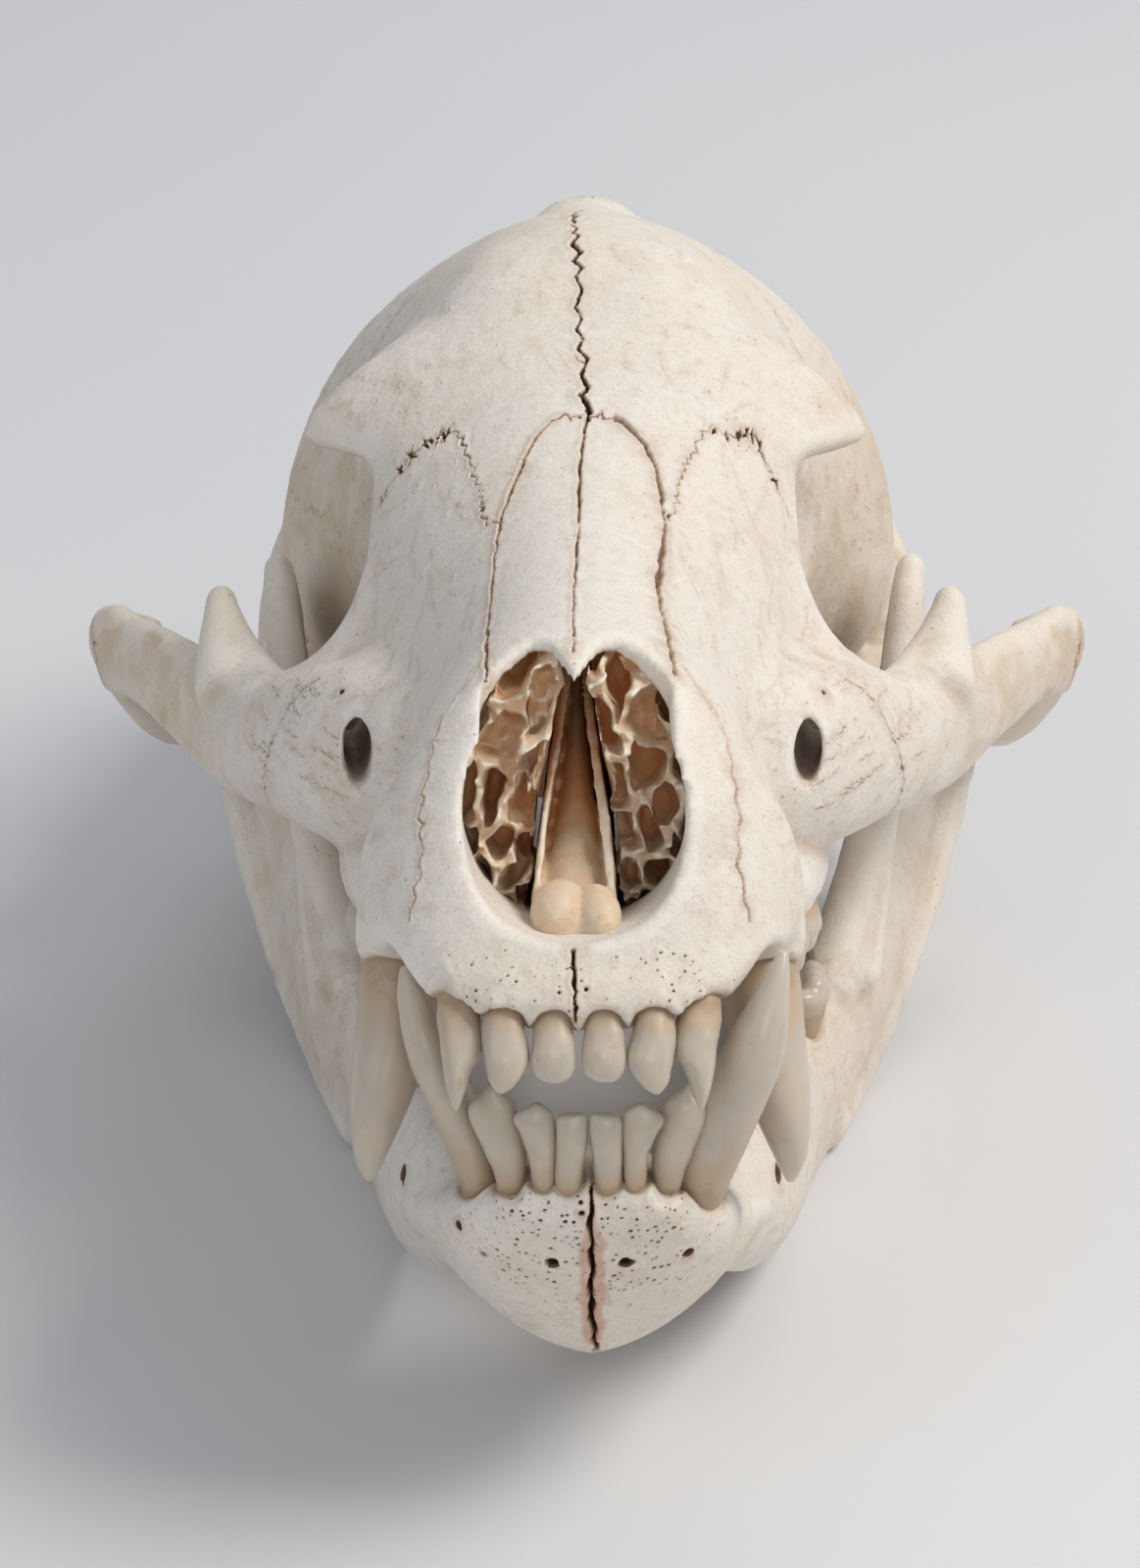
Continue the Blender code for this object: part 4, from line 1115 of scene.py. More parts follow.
def cell_outlines(rng, lower, upper, wide, number, wall):
    """The outlines of irregular cells that share a rectangle, with thin walls between them."""
    corners = [np.array(c, float) for c in ((0, lower), (wide, lower), (wide, upper), (0, upper))]
    squash = np.array([1.0, 0.58])
    seeds = []
    tries = 0
    while len(seeds) < number and tries < 4000:
        tries += 1
        seed = np.array([rng.uniform(0, wide), rng.uniform(lower, upper)])
        room = 2.5 if seed[1] < 24 else 3.9
        if all(np.linalg.norm((seed - other) * squash) > room for other in seeds):
            seeds.append(seed)
    cells = []
    for k, seed in enumerate(seeds):
        shape = corners
        for n, other in enumerate(seeds):
            if n != k:
                ahead = (other - seed) * squash
                ahead /= np.linalg.norm(ahead)
                middle = (seed + other) / 2
                flat = ahead * squash
                flat /= np.linalg.norm(flat)
                shape = clipped(shape, middle - flat * wall * rng.choice([0.3, 0.9, 1.7]), flat)
                if len(shape) < 3:
                    break
        if len(shape) >= 3:
            cells.append(shape)
    return cells


def rounded_outline(shape, count=22):
    """A closed outline drawn again with evenly spaced points and soft corners."""
    loop = np.array(shape + [shape[0]])
    run = np.concatenate([[0], np.cumsum(np.linalg.norm(np.diff(loop, axis=0), axis=1))])
    at = np.linspace(0, run[-1], count, endpoint=False)
    even = np.stack([np.interp(at, run, loop[:, i]) for i in (0, 1)], axis=1)
    for _ in range(2):
        even = 0.5 * even + 0.25 * (np.roll(even, 1, axis=0) + np.roll(even, -1, axis=0))
    return even


# Where the scrolls start beside the vomer's plates: levels, and how far out there
PLATE_EDGE = ([8, 15, 23, 31, 40, 48], [6.6, 5.8, 5.1, 3.2, 2.0, 1.7])
# Sections of a cell from its mouth in: y, and its size against its outline
CELL_MOUTH = ((14, 1.04), (20, 1.0), (24, 0.97))
CELL_END = ((-5, 0.9), (-2, 0.78), (0, 0.45), (1, 0.1))


def turbinates(side):
    """The scrolls on one side of the nose: a block riddled with crooked cells of thin walls."""
    rng = np.random.default_rng(30 + side)
    levels, edges = PLATE_EDGE
    rings = []
    for y in (22.0, 26, 32, 40, 50, 62, 80):
        half, top, widest, bottom = passage_at(y)
        half, top, bottom = half + 0.5, top + 0.5, bottom - 0.5
        outer = []
        for k in range(33):
            angle = pi * (k / 32 - 0.5)
            reach = top - widest if angle >= 0 else widest - bottom
            outer.append((half * power(cos(angle), 0.91), widest + reach * power(sin(angle), 0.91)))
        ring = [(max(x, np.interp(z, levels, edges) + 0.8), y, z) for x, z in outer]
        for k in range(1, 24):
            z = top - (top - bottom) * k / 24
            ring.append((float(np.interp(z, levels, edges)), y, z))
        rings.append(ring)
    block = add_object("turbinate", closed_mesh("block", rings))
    holes = []
    for shape in cell_outlines(rng, 8.0, 50.0, 15.0, 34, 0.2):
        outline = rounded_outline([np.array([x + np.interp(z, levels, edges), z]) for x, z in shape])
        middle = outline.mean(axis=0)
        far = rng.choice([rng.uniform(26, 30), rng.uniform(31, 38)]) + max(0.0, middle[1] - 30) * 0.35
        drift = rng.normal(0, 0.05, 2)
        rings = []
        for y, size in (*CELL_MOUTH, *((far + past, size) for past, size in CELL_END)):
            wave = 1 + 0.08 * np.sin(np.arange(len(outline)) * 1.7 + y * 0.6 + rng.uniform(0, 0.8))
            shape_here = middle + (outline - middle) * (size * wave)[:, None] + drift * (y - 20)
            rings.append([(x, y, z) for x, z in shape_here])
        holes.append(closed_mesh("hole", rings))
    boolean(block, holes, "DIFFERENCE")
    remesh(block, 0.34, 1)
    points = spots(block)
    ragged = ease((34 - points[:, 1]) / 10)
    torn = 4.4 * noise(points * (1, 0.3, 1), 5.2, 31) + 2.8 * noise(points * (1, 0.3, 1), 1.5, 32)
    torn += 1.3 * noise(points * (1, 0.3, 1), 0.8, 36)
    points[:, 1] += ragged * (torn + 3.0 + 0.10 * np.maximum(points[:, 2] - 30, 0))
    for axis, size, seed in ((0, 3.8, 34), (2, 3.8, 35), (0, 1.7, 37), (2, 1.7, 38)):
        points[:, axis] += 0.27 * size * ragged * noise(points * (1, 0.4, 1), size, seed)
    points += normals(block) * (0.10 * noise(points, 1.8, 33))[:, None]
    set_spots(block, points)
    if side < 0:
        block.data = mirrored(block.data)
    block.name = "scrolls_left" if side > 0 else "scrolls_right"
    shade_inside(block)
    shifted(block.data, NOSE_SHIFT)
    return block


def shade_inside(obj):
    """Stores how deep in the nose each vertex is, and how hollow its place."""
    points = spots(obj)
    paint(obj, "deep", ease((points[:, 1] - 23) / 22))
    paint_hollow(obj, points, normals(obj), 10, 1.4)
    obj.data.shade_smooth()


# Marks of the cranium

# Sutures drawn from above (x, y) and, round the premaxilla, from the side (y, z)
NASAL_LEFT = [(12, 25.5), (12.2, 36), (12.1, 48.5), (11.4, 64.4), (10.2, 71), (8.7, 76.7)]
NASAL_LEFT += [(6.8, 82.8), (4.8, 86.1)]
NASAL_RIGHT = [(12, 25.9), (11.3, 36.3), (10.2, 50.2), (11.1, 66.5), (9.8, 78.9), (7.4, 84.2), (4.2, 87.6)]
FRONTAL_LEFT = [(11.2, 66.6), (13.2, 69), (14.1, 75.9), (16.4, 87.3), (18.2, 92.2), (21.9, 93.6)]
FRONTAL_LEFT += [(25.6, 94.4), (29.2, 94.8)]
FRONTAL_RIGHT = [(11.1, 67), (12.7, 72.5), (13.2, 78.3), (14.9, 85), (17.4, 92), (20.6, 93.4)]
FRONTAL_RIGHT += [(23.8, 95.8), (28.9, 93.5)]
PREMAXILLA = [(9.2, 11.5), (11.8, 18.5), (15.4, 24.1), (19.1, 29.8), (24.3, 35.4), (26.9, 38.8), (29.6, 41)]
FOREHEAD_JOINT = [(0.4, 86), (0.2, 92.5), (-0.9, 111), (-1.9, 139), (-1, 150)]
NASAL_JOINT = [(-1.0, 25), (-0.9, 45), (-0.5, 60), (-0.4, 75), (0.4, 87)]


def cranium_marks(obj):
    marks = Marks(obj, 41)

    def flip(line, side):
        return [(side * x, y) for x, y in line]

    # frontals and nasals at the midline
    marks.crack(FOREHEAD_JOINT, "top", 0.42, 1.3, 1.0, 0.7, 4.0, 0.35, 9, 3.0)
    marks.crack(NASAL_JOINT, "top", 0.24, 0.8, 0.55, 0.12, 6.0, 0.45, 2, 2.0)
    # the image's left is the animal's right
    for side, nasal, frontal in ((-1, NASAL_LEFT, FRONTAL_LEFT), (1, NASAL_RIGHT, FRONTAL_RIGHT)):
        marks.crack(flip(nasal, side), "top", 0.34 if side < 0 else 0.46, 0.9, 0.5, 0.14, 5.0, 0.6, 3, 2.2)
        marks.crack(flip(frontal, side), "top", 0.19, 0.6, 0.6, 0.45, 2.2, 0.3, 6, 2.0)
        marks.comb(flip(frontal[4:], side), "top", 15, 2.4)
        marks.comb(flip(frontal[:3], side), "top", 3, 1.6)
        nasal_end = flip([(4.5, 86.5), (2.2, 87.3), (0.3, 86.5)], side)
        marks.crack(nasal_end, "top", 0.35, 1.0, 0.9, 0.8, 1.6, 0.4, 3, 2.0)
        way = "left" if side > 0 else "right"
        marks.crack(PREMAXILLA, way, 0.2, 0.35, 0.4, 0.3, 3.2, 0.4, 4, 2.0)
        # sutures of the cheekbone, the temple and the back
        for line, *look in (
            ([(74, 34), (76.5, 30), (78, 26), (82, 20), (86, 14)], 0.2, 0.8, 0.8, 0.4, 2.0, 0.35, 6, 2.4),
            (
                [(136, 66), (142, 50), (160, 50), (190, 56), (206, 52), (214, 34)],
                0.16, 0.3, 0.35, 1.2, 3.0, 0.15, 4, 2.0,
            ),
            ([(153, 84), (150, 70), (146, 58)], 0.16, 0.3, 0.35, 1.0, 2.6, 0.15, 2, 2.0),
            ([(146, 33), (147, 28), (152, 23), (160, 19)], 0.4, 0.9, 0.8, 0.4, 3.0, 0.6, 2, 2.0),
        ):
            marks.crack(line, way, *look)
        # wrinkled bone round the cheekbone's suture
        for k in range(22):
            y = 62 + 1.1 * k + marks.rng.uniform(-2, 2)
            z = 29 - 0.4 * abs(k - 10) + marks.rng.uniform(-9, 7)
            far = marks.rng.uniform(2.5, 7.5)
            rise = far * marks.rng.uniform(0.1, 0.5)
            line = [(y, z), (y + far * 0.5, z + far * 0.10), (y + far, z + rise)]
            marks.crack(line, way, 0.13, 0.22, 0.55, 0.4, 1.6, 0.22)
        marks.pit((68, 33), way, 0.6, 1.2, 0.9, 0.5)
        marks.pits(40, ((20, 6), (60, 34)), way, 0.28, 0.4, 0.35, 0.25)
        marks.pits(60, ((side * 13, 60), (side * 34, 112)), "top", 0.26, 0.35, 0.3, 0.2)
        marks.pits(170, ((112, 44), (176, 84)), way, 0.26, 0.4, 0.75, 0.3)
        marks.pits(90, ((56, 14), (100, 40)), way, 0.2, 0.3, 0.6, 0.2)
    for side in (1, -1):
        crown_suture = flip([(0, 158), (12, 161), (24, 157), (34, 152)], side)
        marks.crack(crown_suture, "top", 0.34, 1.0, 0.8, 1.4, 3.4, 0.3, 6, 2.0)
    back_suture = [(0, 158), (0.8, 172), (-0.6, 192), (0, 218)]
    marks.crack(back_suture, "top", 0.3, 0.8, 0.8, 1.4, 3.4, 0.3, 6, 2.0)
    marks.crack([(-0.7, 9), (-0.5, 5), (-0.4, 0.5)], "front", 0.32, 1.2, 0.95, 0.15, 2.0, 0.4, 1, 1.5)
    marks.pit((0.9, 4.6), "front", 0.4, 0.9, 0.9, 0.2)
    marks.pit((-2.4, 4.2), "front", 0.28, 0.7, 0.8, 0.2)
    marks.pits(60, ((-15, 0.5), (15, 9)), "front", 0.24, 0.6, 0.8, 0.12)
    marks.hairs(46, ((14, 40), (30, 92)), "top", 7.0)
    marks.hairs(46, ((-14, 40), (-30, 92)), "top", 7.0)
    marks.hairs(40, ((-30, 96), (30, 150)), "top", 6.0)
    for way in ("left", "right"):
        marks.hairs(40, ((18, 8), (64, 36)), way, 6.0)
        marks.hairs(50, ((90, 20), (190, 80)), way, 5.0)
    return marks


# Marks of the lower jaw, closed

CHIN_JOINT = [(0.5, -8.6), (0.3, -14), (0.4, -20), (0.2, -26), (0.6, -33), (0.9, -39)]


def jaw_marks(obj):
    marks = Marks(obj, 53)
    marks.crack(CHIN_JOINT, "front", 0.42, 2.1, 1.0, 0.24, 4.2, 0.4, 5, 1.2)
    for x, z, reach, depth, dark in (
        (-4.7, -20.4, 1.15, 2.6, 1.0),
        (4.7, -20.4, 1.15, 2.6, 1.0),
        (12.6, -19.8, 0.9, 1.6, 0.85),
        (-13.4, -20.6, 0.7, 1.3, 0.8),
        (-16.6, -17.2, 0.85, 1.6, 0.95),
        (-16.4, -15.9, 0.6, 1.3, 0.9),
        (-19.0, -11, 0.6, 1.2, 0.85),
        (18.6, -10.4, 0.6, 1.2, 0.85),
        (-0.9, -12.6, 0.4, 1.0, 1.0),
    ):
        marks.pit((x, z), "front", reach, depth, dark, 0.6)
    marks.pits(150, ((-12, -25), (12, -10.5)), "front", 0.34, 0.9, 1.0, 0.1)
    marks.pits(260, ((-19, -32), (19, -10)), "front", 0.22, 0.6, 0.85, 0.05)
    marks.hairs(12, ((-16, -36), (16, -26)), "front", 3.0)
    for way in ("left", "right"):
        marks.hairs(50, ((24, -38), (150, -10)), way, 6.0)
        marks.pit((52, -22), way, 1.5, 2.6, 0.9, 0.4)
        marks.pit((66, -24), way, 0.9, 1.6, 0.9, 0.4)
        marks.pits(60, ((20, -40), (110, -14)), way, 0.28, 0.4, 0.35, 0.2)
    return marks


# Materials


class Nodes:
    """Short ways to build a node tree."""

    def __init__(self, name):
        self.made = bpy.data.materials.new(name)
        self.made.use_nodes = True
        self.tree = self.made.node_tree
        self.shader = self.tree.nodes["Principled BSDF"]
        self.place = self.tree.nodes.new("ShaderNodeTexCoord").outputs["Object"]

    def link(self, source, target):
        if isinstance(source, (int, float)):
            target.default_value = source
        elif isinstance(source, tuple):
            target.default_value = (*source, 1.0)
        else:
            self.tree.links.new(source, target)

    def attribute(self, name):
        node = self.tree.nodes.new("ShaderNodeAttribute")
        node.attribute_name = name
        return node.outputs["Fac"]

    def stretched(self, scale):
        node = self.tree.nodes.new("ShaderNodeMapping")
        node.inputs["Scale"].default_value = scale
        self.link(self.place, node.inputs["Vector"])
        return node.outputs["Vector"]

    def noise(self, size, detail=3.0, rough=0.6, vector=None, warp=0.0):
        """Noise whose cells are this many millimetres across."""
        node = self.tree.nodes.new("ShaderNodeTexNoise")
        node.inputs["Scale"].default_value = 1000.0 / size
        node.inputs["Detail"].default_value = detail
        node.inputs["Roughness"].default_value = rough
        node.inputs["Distortion"].default_value = warp
        self.link(vector or self.place, node.inputs["Vector"])
        return node.outputs["Fac"]

    def cells(self, size, spread=1.0, vector=None):
        node = self.tree.nodes.new("ShaderNodeTexVoronoi")
        node.inputs["Scale"].default_value = 1000.0 / size
        node.inputs["Randomness"].default_value = spread
        self.link(vector or self.place, node.inputs["Vector"])
        return node.outputs["Distance"]

    def level(self, value, low, high, bottom=0.0, top=1.0):
        """The value's run from low to high, stretched smoothly from bottom to top."""
        node = self.tree.nodes.new("ShaderNodeMapRange")
        node.interpolation_type = "SMOOTHSTEP"
        for key, number in (("From Min", low), ("From Max", high), ("To Min", bottom), ("To Max", top)):
            node.inputs[key].default_value = number
        self.link(value, node.inputs["Value"])
        return node.outputs["Result"]

    def math(self, step, a, b):
        node = self.tree.nodes.new("ShaderNodeMath")
        node.operation = step
        self.link(a, node.inputs[0])
        self.link(b, node.inputs[1])
        return node.outputs["Value"]

    def mix(self, share, a, b, blend="MIX"):
        node = self.tree.nodes.new("ShaderNodeMix")
        node.data_type = "RGBA"
        node.blend_type = blend
        self.link(share, node.inputs["Factor"])
        self.link(a, node.inputs["A"])
        self.link(b, node.inputs["B"])
        return node.outputs["Result"]

    def bump(self, height, strength, depth, under=None):
        node = self.tree.nodes.new("ShaderNodeBump")
        node.inputs["Strength"].default_value = strength
        node.inputs["Distance"].default_value = depth * MM
        self.link(height, node.inputs["Height"])
        if under is not None:
            self.link(under, node.inputs["Normal"])
        return node.outputs["Normal"]

    def finish(self, colour, roughness, normal):
        self.link(colour, self.shader.inputs["Base Color"])
        self.link(roughness, self.shader.inputs["Roughness"])
        self.link(normal, self.shader.inputs["Normal"])
        return self.made


def bone_material(name, cream, tan, warmth):
    """Dry bone: cream, blotched with tan, stained round its cracks and pits and dark in its cracks, with
    painted shade in its hollows and a painted highlight on its ridges.
    """
    n = Nodes(name)
    broad = n.noise(38, 3, 0.55, warp=0.4)
    blotch = n.noise(9, 5, 0.62, warp=0.5)
    grain = n.noise(1.5, 4, 0.65)
    dust = n.noise(0.42, 3, 0.7)
    colour = n.mix(n.level(broad, 0.42, 0.66), cream, warmth)
    # a patchy tan tone on the braincase's sides behind the brows, the arches and the back of the jaw
    tan_tone = n.math("MULTIPLY", n.attribute("tan_tone"), n.level(blotch, 0.30, 0.62, 0.35, 1.0))
    colour = n.mix(tan_tone, colour, (0.60, 0.47, 0.32))
    colour = n.mix(n.level(blotch, 0.50, 0.74, 0, 0.36), colour, tan)
    colour = n.mix(n.level(grain, 0.42, 0.70, 0.0, 0.20), colour, (0.52, 0.41, 0.29))
    colour = n.mix(n.level(dust, 0.50, 0.72, 0.0, 0.44), colour, (0.47, 0.36, 0.25))
    hollow = n.attribute("hollow")
    # painted shade: darker brown in the surface's hollows
    colour = n.mix(n.level(hollow, 0.58, 0.98, 0.0, 0.42), colour, (0.46, 0.32, 0.19))
    # painted highlight: paler on the surface's raised ridges
    colour = n.mix(n.level(hollow, 0.20, 0.44, 0.35, 0.0), colour, (0.90, 0.86, 0.79))
    region = n.level(n.noise(9.0, 3, 0.6), 0.44, 0.60)
    pores = n.math("MULTIPLY", n.level(n.cells(2.1), 0.05, 0.13, 1.0, 0.0), region)
    fine_region = n.level(n.noise(5.0, 3, 0.6), 0.5, 0.62)
    fine = n.math("MULTIPLY", n.level(n.cells(0.9), 0.08, 0.2, 1.0, 0.0), fine_region)
    colour = n.mix(n.math("MULTIPLY", pores, 0.75), colour, (0.26, 0.15, 0.08))
    colour = n.mix(n.math("MULTIPLY", fine, 0.55), colour, (0.34, 0.23, 0.13))
    patchy = n.level(n.noise(2.6, 4, 0.6), 0.28, 0.62, 0.35, 1.0)
    stain = n.math("MULTIPLY", n.attribute("stain"), patchy)
    colour = n.mix(stain, colour, (0.48, 0.30, 0.17))
    colour = n.mix(n.attribute("rose"), colour, (0.58, 0.34, 0.24))
    socket = n.level(n.attribute("socket"), 0.40, 0.95, 0.0, 0.70)
    socket = n.math("MULTIPLY", socket, n.level(blotch, 0.3, 0.6, 0.4, 1.0))
    colour = n.mix(socket, colour, (0.44, 0.29, 0.17))
    # painted shade: darker brown further back inside the nasal passage
    colour = n.mix(n.level(n.attribute("deep"), 0.0, 1.0, 0.0, 0.85), colour, (0.42, 0.23, 0.11))
    crack = n.attribute("crack")
    colour = n.mix(n.level(crack, 0.08, 0.5, 0.0, 0.6), colour, (0.40, 0.22, 0.10))
    colour = n.mix(n.level(crack, 0.26, 0.66, 0.0, 0.95), colour, (0.11, 0.048, 0.022))
    colour = n.mix(n.level(crack, 0.7, 0.95, 0.0, 0.92), colour, (0.02, 0.010, 0.006))
    rough = n.level(blotch, 0.3, 0.7, 0.52, 0.68)
    normal = n.bump(grain, 0.55, 0.35)
    normal = n.bump(dust, 0.55, 0.16, normal)
    normal = n.bump(n.math("ADD", pores, fine), -0.6, 0.25, normal)
    return n.finish(colour, rough, normal)


def inner_material(name):
    """The thin scrolls inside the nose: pale edges, paler still from a painted highlight, orange-brown
    further in, with painted shade in the hollows.
    """
    n = Nodes(name)
    blotch = n.noise(4.5, 4, 0.6, warp=0.5)
    grain = n.noise(0.9, 3, 0.6)
    pale = n.mix(n.level(blotch, 0.35, 0.65), (0.70, 0.58, 0.44), (0.68, 0.49, 0.32))
    deep = n.attribute("deep")
    colour = n.mix(n.level(deep, 0.0, 0.6), pale, (0.90, 0.56, 0.30))
    hollow = n.attribute("hollow")
    # painted shade: warmer, darker orange-brown in the scrolls' hollows
    colour = n.mix(n.level(hollow, 0.55, 0.9, 0.0, 0.5), colour, (0.84, 0.50, 0.26))
    # painted highlight: paler on the scrolls' raised edges
    colour = n.mix(n.level(hollow, 0.12, 0.40, 0.65, 0.0), colour, (0.86, 0.79, 0.68))
    n.shader.inputs["Subsurface Weight"].default_value = 0.35
    n.shader.inputs["Subsurface Scale"].default_value = 2.0 * MM
    n.shader.inputs["Subsurface Radius"].default_value = (1.0, 0.55, 0.3)
    specks = n.level(n.cells(0.8), 0.06, 0.16, 0.8, 0.0)
    colour = n.mix(n.math("MULTIPLY", specks, n.level(blotch, 0.45, 0.6)), colour, (0.34, 0.20, 0.10))
    normal = n.bump(grain, 0.45, 0.2)
    return n.finish(colour, n.level(blotch, 0.3, 0.7, 0.5, 0.66), normal)


def enamel_material(name, white, root):
    """Teeth: ivory crowns with faint upright streaks, yellower and duller at the neck."""
    n = Nodes(name)
    crown = n.attribute("crown")
    blotch = n.noise(4.2, 5, 0.62, warp=0.5)
    streak = n.noise(0.8, 3, 0.6, n.stretched((1, 1, 0.12)))
    grain = n.noise(0.5, 2, 0.6)
    colour = n.mix(n.level(blotch, 0.34, 0.70), white, (0.50, 0.45, 0.375))
    colour = n.mix(n.level(streak, 0.45, 0.75, 0.0, 0.22), colour, (0.50, 0.38, 0.25))
    spots_of_tan = n.level(n.noise(3.0, 4, 0.65, warp=0.8), 0.60, 0.74, 0.0, 0.55)
    colour = n.mix(spots_of_tan, colour, (0.44, 0.29, 0.16))
    edge = n.math("ADD", crown, n.level(blotch, 0.2, 0.8, -0.12, 0.12))
    colour = n.mix(n.level(edge, 0.02, 0.34, 0.75, 0.0), colour, root)
    colour = n.mix(n.level(edge, -0.14, 0.02, 0.6, 0.0), colour, (0.36, 0.24, 0.14))
    colour = n.mix(n.level(crown, 0.72, 1.0, 0.0, 0.45), colour, (0.60, 0.545, 0.46))
    hollow = n.attribute("hollow")
    # painted shade: darker brown in the hollows between and on the teeth
    colour = n.mix(n.level(hollow, 0.56, 0.82, 0.0, 0.6), colour, (0.38, 0.25, 0.14))
    normal = n.bump(streak, 0.20, 0.12)
    normal = n.bump(grain, 0.12, 0.08, normal)
    rough = n.level(edge, 0.0, 0.45, 0.50, 0.30)
    n.shader.inputs["Coat Weight"].default_value = 0.12
    n.shader.inputs["Coat Roughness"].default_value = 0.25
    return n.finish(colour, rough, normal)


def floor_material():
    n = Nodes("studio_floor")
    colour = n.mix(n.level(n.noise(600, 2, 0.5), 0.3, 0.7), (0.665, 0.665, 0.68), (0.70, 0.695, 0.70))
    normal = n.bump(n.noise(3, 2, 0.5), 0.05, 0.1)
    return n.finish(colour, n.level(n.noise(80, 2, 0.5), 0.3, 0.7, 0.75, 0.85), normal)


# Placing


def placement():
    """Where the cranium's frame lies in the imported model's frame."""
    tip = Matrix.Rotation(radians(-NOSE_UP), 4, "X")
    return Matrix.Translation(Vector((0, -MIDDLE, -FLOOR_LEVEL)) * MM) @ tip


def jaw_placement():
    hinge = Vector((0, *CONDYLE_AXIS)) * MM
    swing = Matrix.Rotation(radians(JAW_OPEN), 4, "X")
    shift = Matrix.Translation((JAW_SHIFT * MM, 0, 0))
    return placement() @ shift @ Matrix.Translation(hinge) @ swing @ Matrix.Translation(-hinge)


def settle(piece, matrix):
    piece.data.transform(matrix)
    piece.data.update()


def flatten(piece):
    """Rests a piece on the floor on small flats."""
    points = spots(piece)
    points[:, 2] = np.maximum(points[:, 2], 0.0)
    set_spots(piece, points)


def camera():
    """The photograph's view, set in the cranium's frame."""
    rise, turn = radians(VIEW_RISE), radians(VIEW_TURN)
    wide, high = PICTURE_PIXELS
    ahead = Vector((-sin(turn) * cos(rise), cos(turn) * cos(rise), -sin(rise)))
    right = ahead.cross(Vector(UPRIGHT)).normalized()
    up = right.cross(ahead)
    across, down = wide / 2 - CENTRE_PIXEL[0], CENTRE_PIXEL[1] - high / 2
    aim = ahead * FOCAL_PIXELS + right * across + up * down
    lens = bpy.data.cameras.new("camera")
    lens.sensor_fit = "VERTICAL"
    lens.sensor_height = SENSOR_HEIGHT
    lens.lens = SENSOR_HEIGHT * FOCAL_PIXELS / high
    lens.clip_start = 0.01
    lens.clip_end = 20
    made = bpy.data.objects.new("camera", lens)
    bpy.context.scene.collection.objects.link(made)
    place = (Vector(VIEW_TARGET) - ahead * VIEW_DISTANCE) * MM
    spin = aim.to_track_quat("-Z", "Y").to_matrix().to_4x4()
    made.matrix_world = placement() @ Matrix.Translation(place) @ spin
    bpy.context.scene.camera = made


def light(name, place, energy, size, colour, target=(0, -0.05, 0.07)):
    lamp = bpy.data.lights.new(name, "AREA")
    lamp.energy = energy
    lamp.size = size
    lamp.color = colour
    made = bpy.data.objects.new(name, lamp)
    made.location = place
    made.rotation_euler = (Vector(target) - Vector(place)).to_track_quat("-Z", "Y").to_euler()
    bpy.context.scene.collection.objects.link(made)


def studio():
    mesh = bpy.data.meshes.new("floor")
    bm = bmesh.new()
    bmesh.ops.create_grid(bm, x_segments=8, y_segments=8, size=4.0)
    bm.to_mesh(mesh)
    bm.free()
    floor = add_object("floor", mesh)
    floor.location = (0, 0, -0.0002)
    mesh.materials.append(floor_material())
    light("key", (0.80, -0.16, 1.08), 12.4, 0.6, (1.0, 0.97, 0.92))
    light("fill", (-1.1, -0.9, 0.9), 3.6, 1.2, (0.90, 0.95, 1.0))
    light("front", (0.10, -1.0, 0.42), 0.9, 0.3, (1.0, 0.96, 0.90))
    light("back", (0.2, 1.2, 1.0), 4.0, 1.0, (0.95, 0.97, 1.0))
    world = bpy.data.worlds.new("studio")
    world.use_nodes = True
    shade = world.node_tree.nodes["Background"]
    shade.inputs["Color"].default_value = (0.80, 0.84, 0.90, 1)
    shade.inputs["Strength"].default_value = 0.42
    bpy.context.scene.world = world
    bpy.context.scene.view_settings.view_transform = "Standard"


# The skull


def in_passage(points):
    """How surely each point lies on the walls of the nasal passage, from 0 to 1."""
    table = np.array(PASSAGE)
    half, top, widest, bottom = (np.interp(points[:, 1], table[:, 0], table[:, k]) for k in (1, 2, 3, 4))
    above = points[:, 2] > widest
    reach = np.where(above, top - widest, widest - bottom)
    rise = (points[:, 2] - widest) / reach
    return ease((1.22 - (np.abs((points[:, 0] - NOSE_SHIFT) / half) ** 2.2 + np.abs(rise) ** 2.2)) / 0.14)


def symphysis_stain(points):
    """The rosy stain on each side of the joint between the jaw's halves, widest low down."""
    wide = np.interp(points[:, 2], [-37, -34, -30, -24, -18, -14, -12], [0.4, 1.7, 2.0, 2.1, 1.9, 0.9, 0.1])
    wide = wide * (1 + 0.35 * noise(points, 2.4, 61))
    front = ease((30 - points[:, 1]) / 6)
    return front * ease((wide - np.abs(points[:, 0] - 0.5)) / 0.9) * (0.75 + 0.25 * noise(points, 1.2, 62))


def all_teeth(rows, seeds, upper):
    """The teeth of one jaw, the animal's left before its right."""
    teeth = [*incisors(1, rows, seeds[0]), *incisors(-1, rows, seeds[1])]
    for row in (canine, cheek_teeth):
        teeth += [*row(1, upper), *row(-1, upper)]
    return teeth


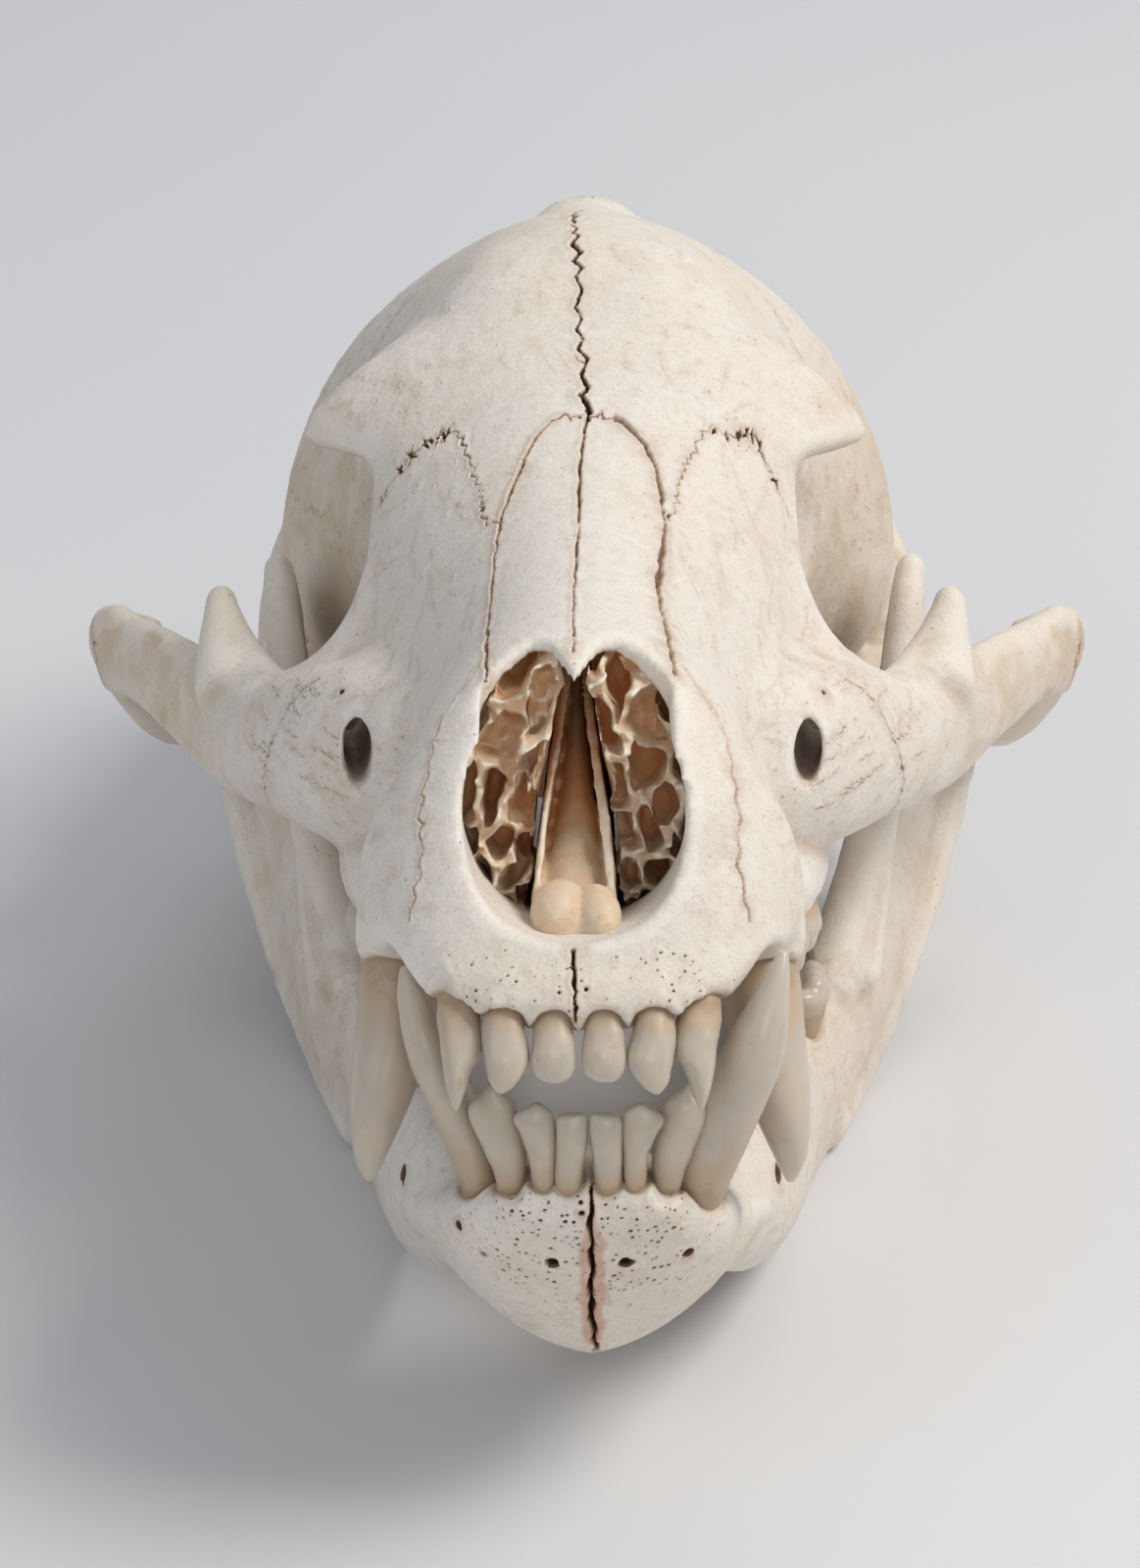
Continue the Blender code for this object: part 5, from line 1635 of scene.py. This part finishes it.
def finish_cranium(skull, teeth):
    """Gives the cranium its marks and everything else that its material reads."""
    points = carve(skull, cranium_marks(skull), surface_of(teeth))
    # painted shade: the nasal passage's walls get darker further in
    paint(skull, "deep", in_passage(points) * ease((points[:, 1] - 20) / 34))
    side = np.abs(points[:, 0])
    # tan tone: on the braincase's sides behind the brows and below its top, a little on the widest parts
    tan_tone = ease((side - 27) / 10) * ease((points[:, 1] - 96) / 22) * ease((84 - points[:, 2]) / 24)
    paint(skull, "tan_tone", 0.62 * tan_tone + 0.10 * ease((side - 40) / 14))
    paint(skull, "rose", np.zeros(len(points)))


def finish_jaw(lower, teeth):
    """Gives the lower jaw its marks and everything else that its material reads."""
    points = carve(lower, jaw_marks(lower), surface_of(teeth))
    paint(lower, "deep", np.zeros(len(points)))
    # tan tone: growing toward the back of the jaw
    paint(lower, "tan_tone", 0.4 * ease((points[:, 1] - 60) / 60))
    paint(lower, "rose", symphysis_stain(points))


def dress(pieces, material):
    for piece in pieces:
        piece.data.materials.clear()
        piece.data.materials.append(material)


def main():
    skull = cranium()
    upper_row = tooth_row("teeth_upper", all_teeth(UPPER_INCISORS, (71, 74), True))
    lower_row = tooth_row("teeth_lower", all_teeth(LOWER_INCISORS, (81, 84), False))
    finish_cranium(skull, upper_row)
    lower = jaw()
    finish_jaw(lower, lower_row)
    inside = [vomer(), turbinates(1), turbinates(-1)]

    skull.name = "cranium"
    lower.name = "mandible"
    tan = (0.60, 0.48, 0.35)
    dress([skull], bone_material("bone_cranium", (0.775, 0.72, 0.655), tan, (0.755, 0.685, 0.59)))
    dress([lower], bone_material("bone_mandible", (0.79, 0.74, 0.68), tan, (0.77, 0.70, 0.61)))
    dress(inside, inner_material("bone_scrolls"))
    dress([upper_row, lower_row], enamel_material("enamel", (0.57, 0.485, 0.385), (0.50, 0.365, 0.23)))

    for piece in (skull, upper_row, *inside):
        settle(piece, placement())
    for piece in (lower, lower_row):
        settle(piece, jaw_placement())
    flatten(lower)

    bones = ("premaxilla", "maxilla", "nasal", "frontal", "zygomatic", "temporal", "parietal")
    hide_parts("skull_base", *[f"{bone}_{side}" for bone in bones for side in ("left", "right")])
    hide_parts("mandible_left", "mandible_right")
    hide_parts("vomer")
    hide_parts("turbinate_left")
    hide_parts("turbinate_right")
    for piece in (skull, lower, upper_row, lower_row, *inside):
        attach(piece, "root")
    camera()
    studio()


main()
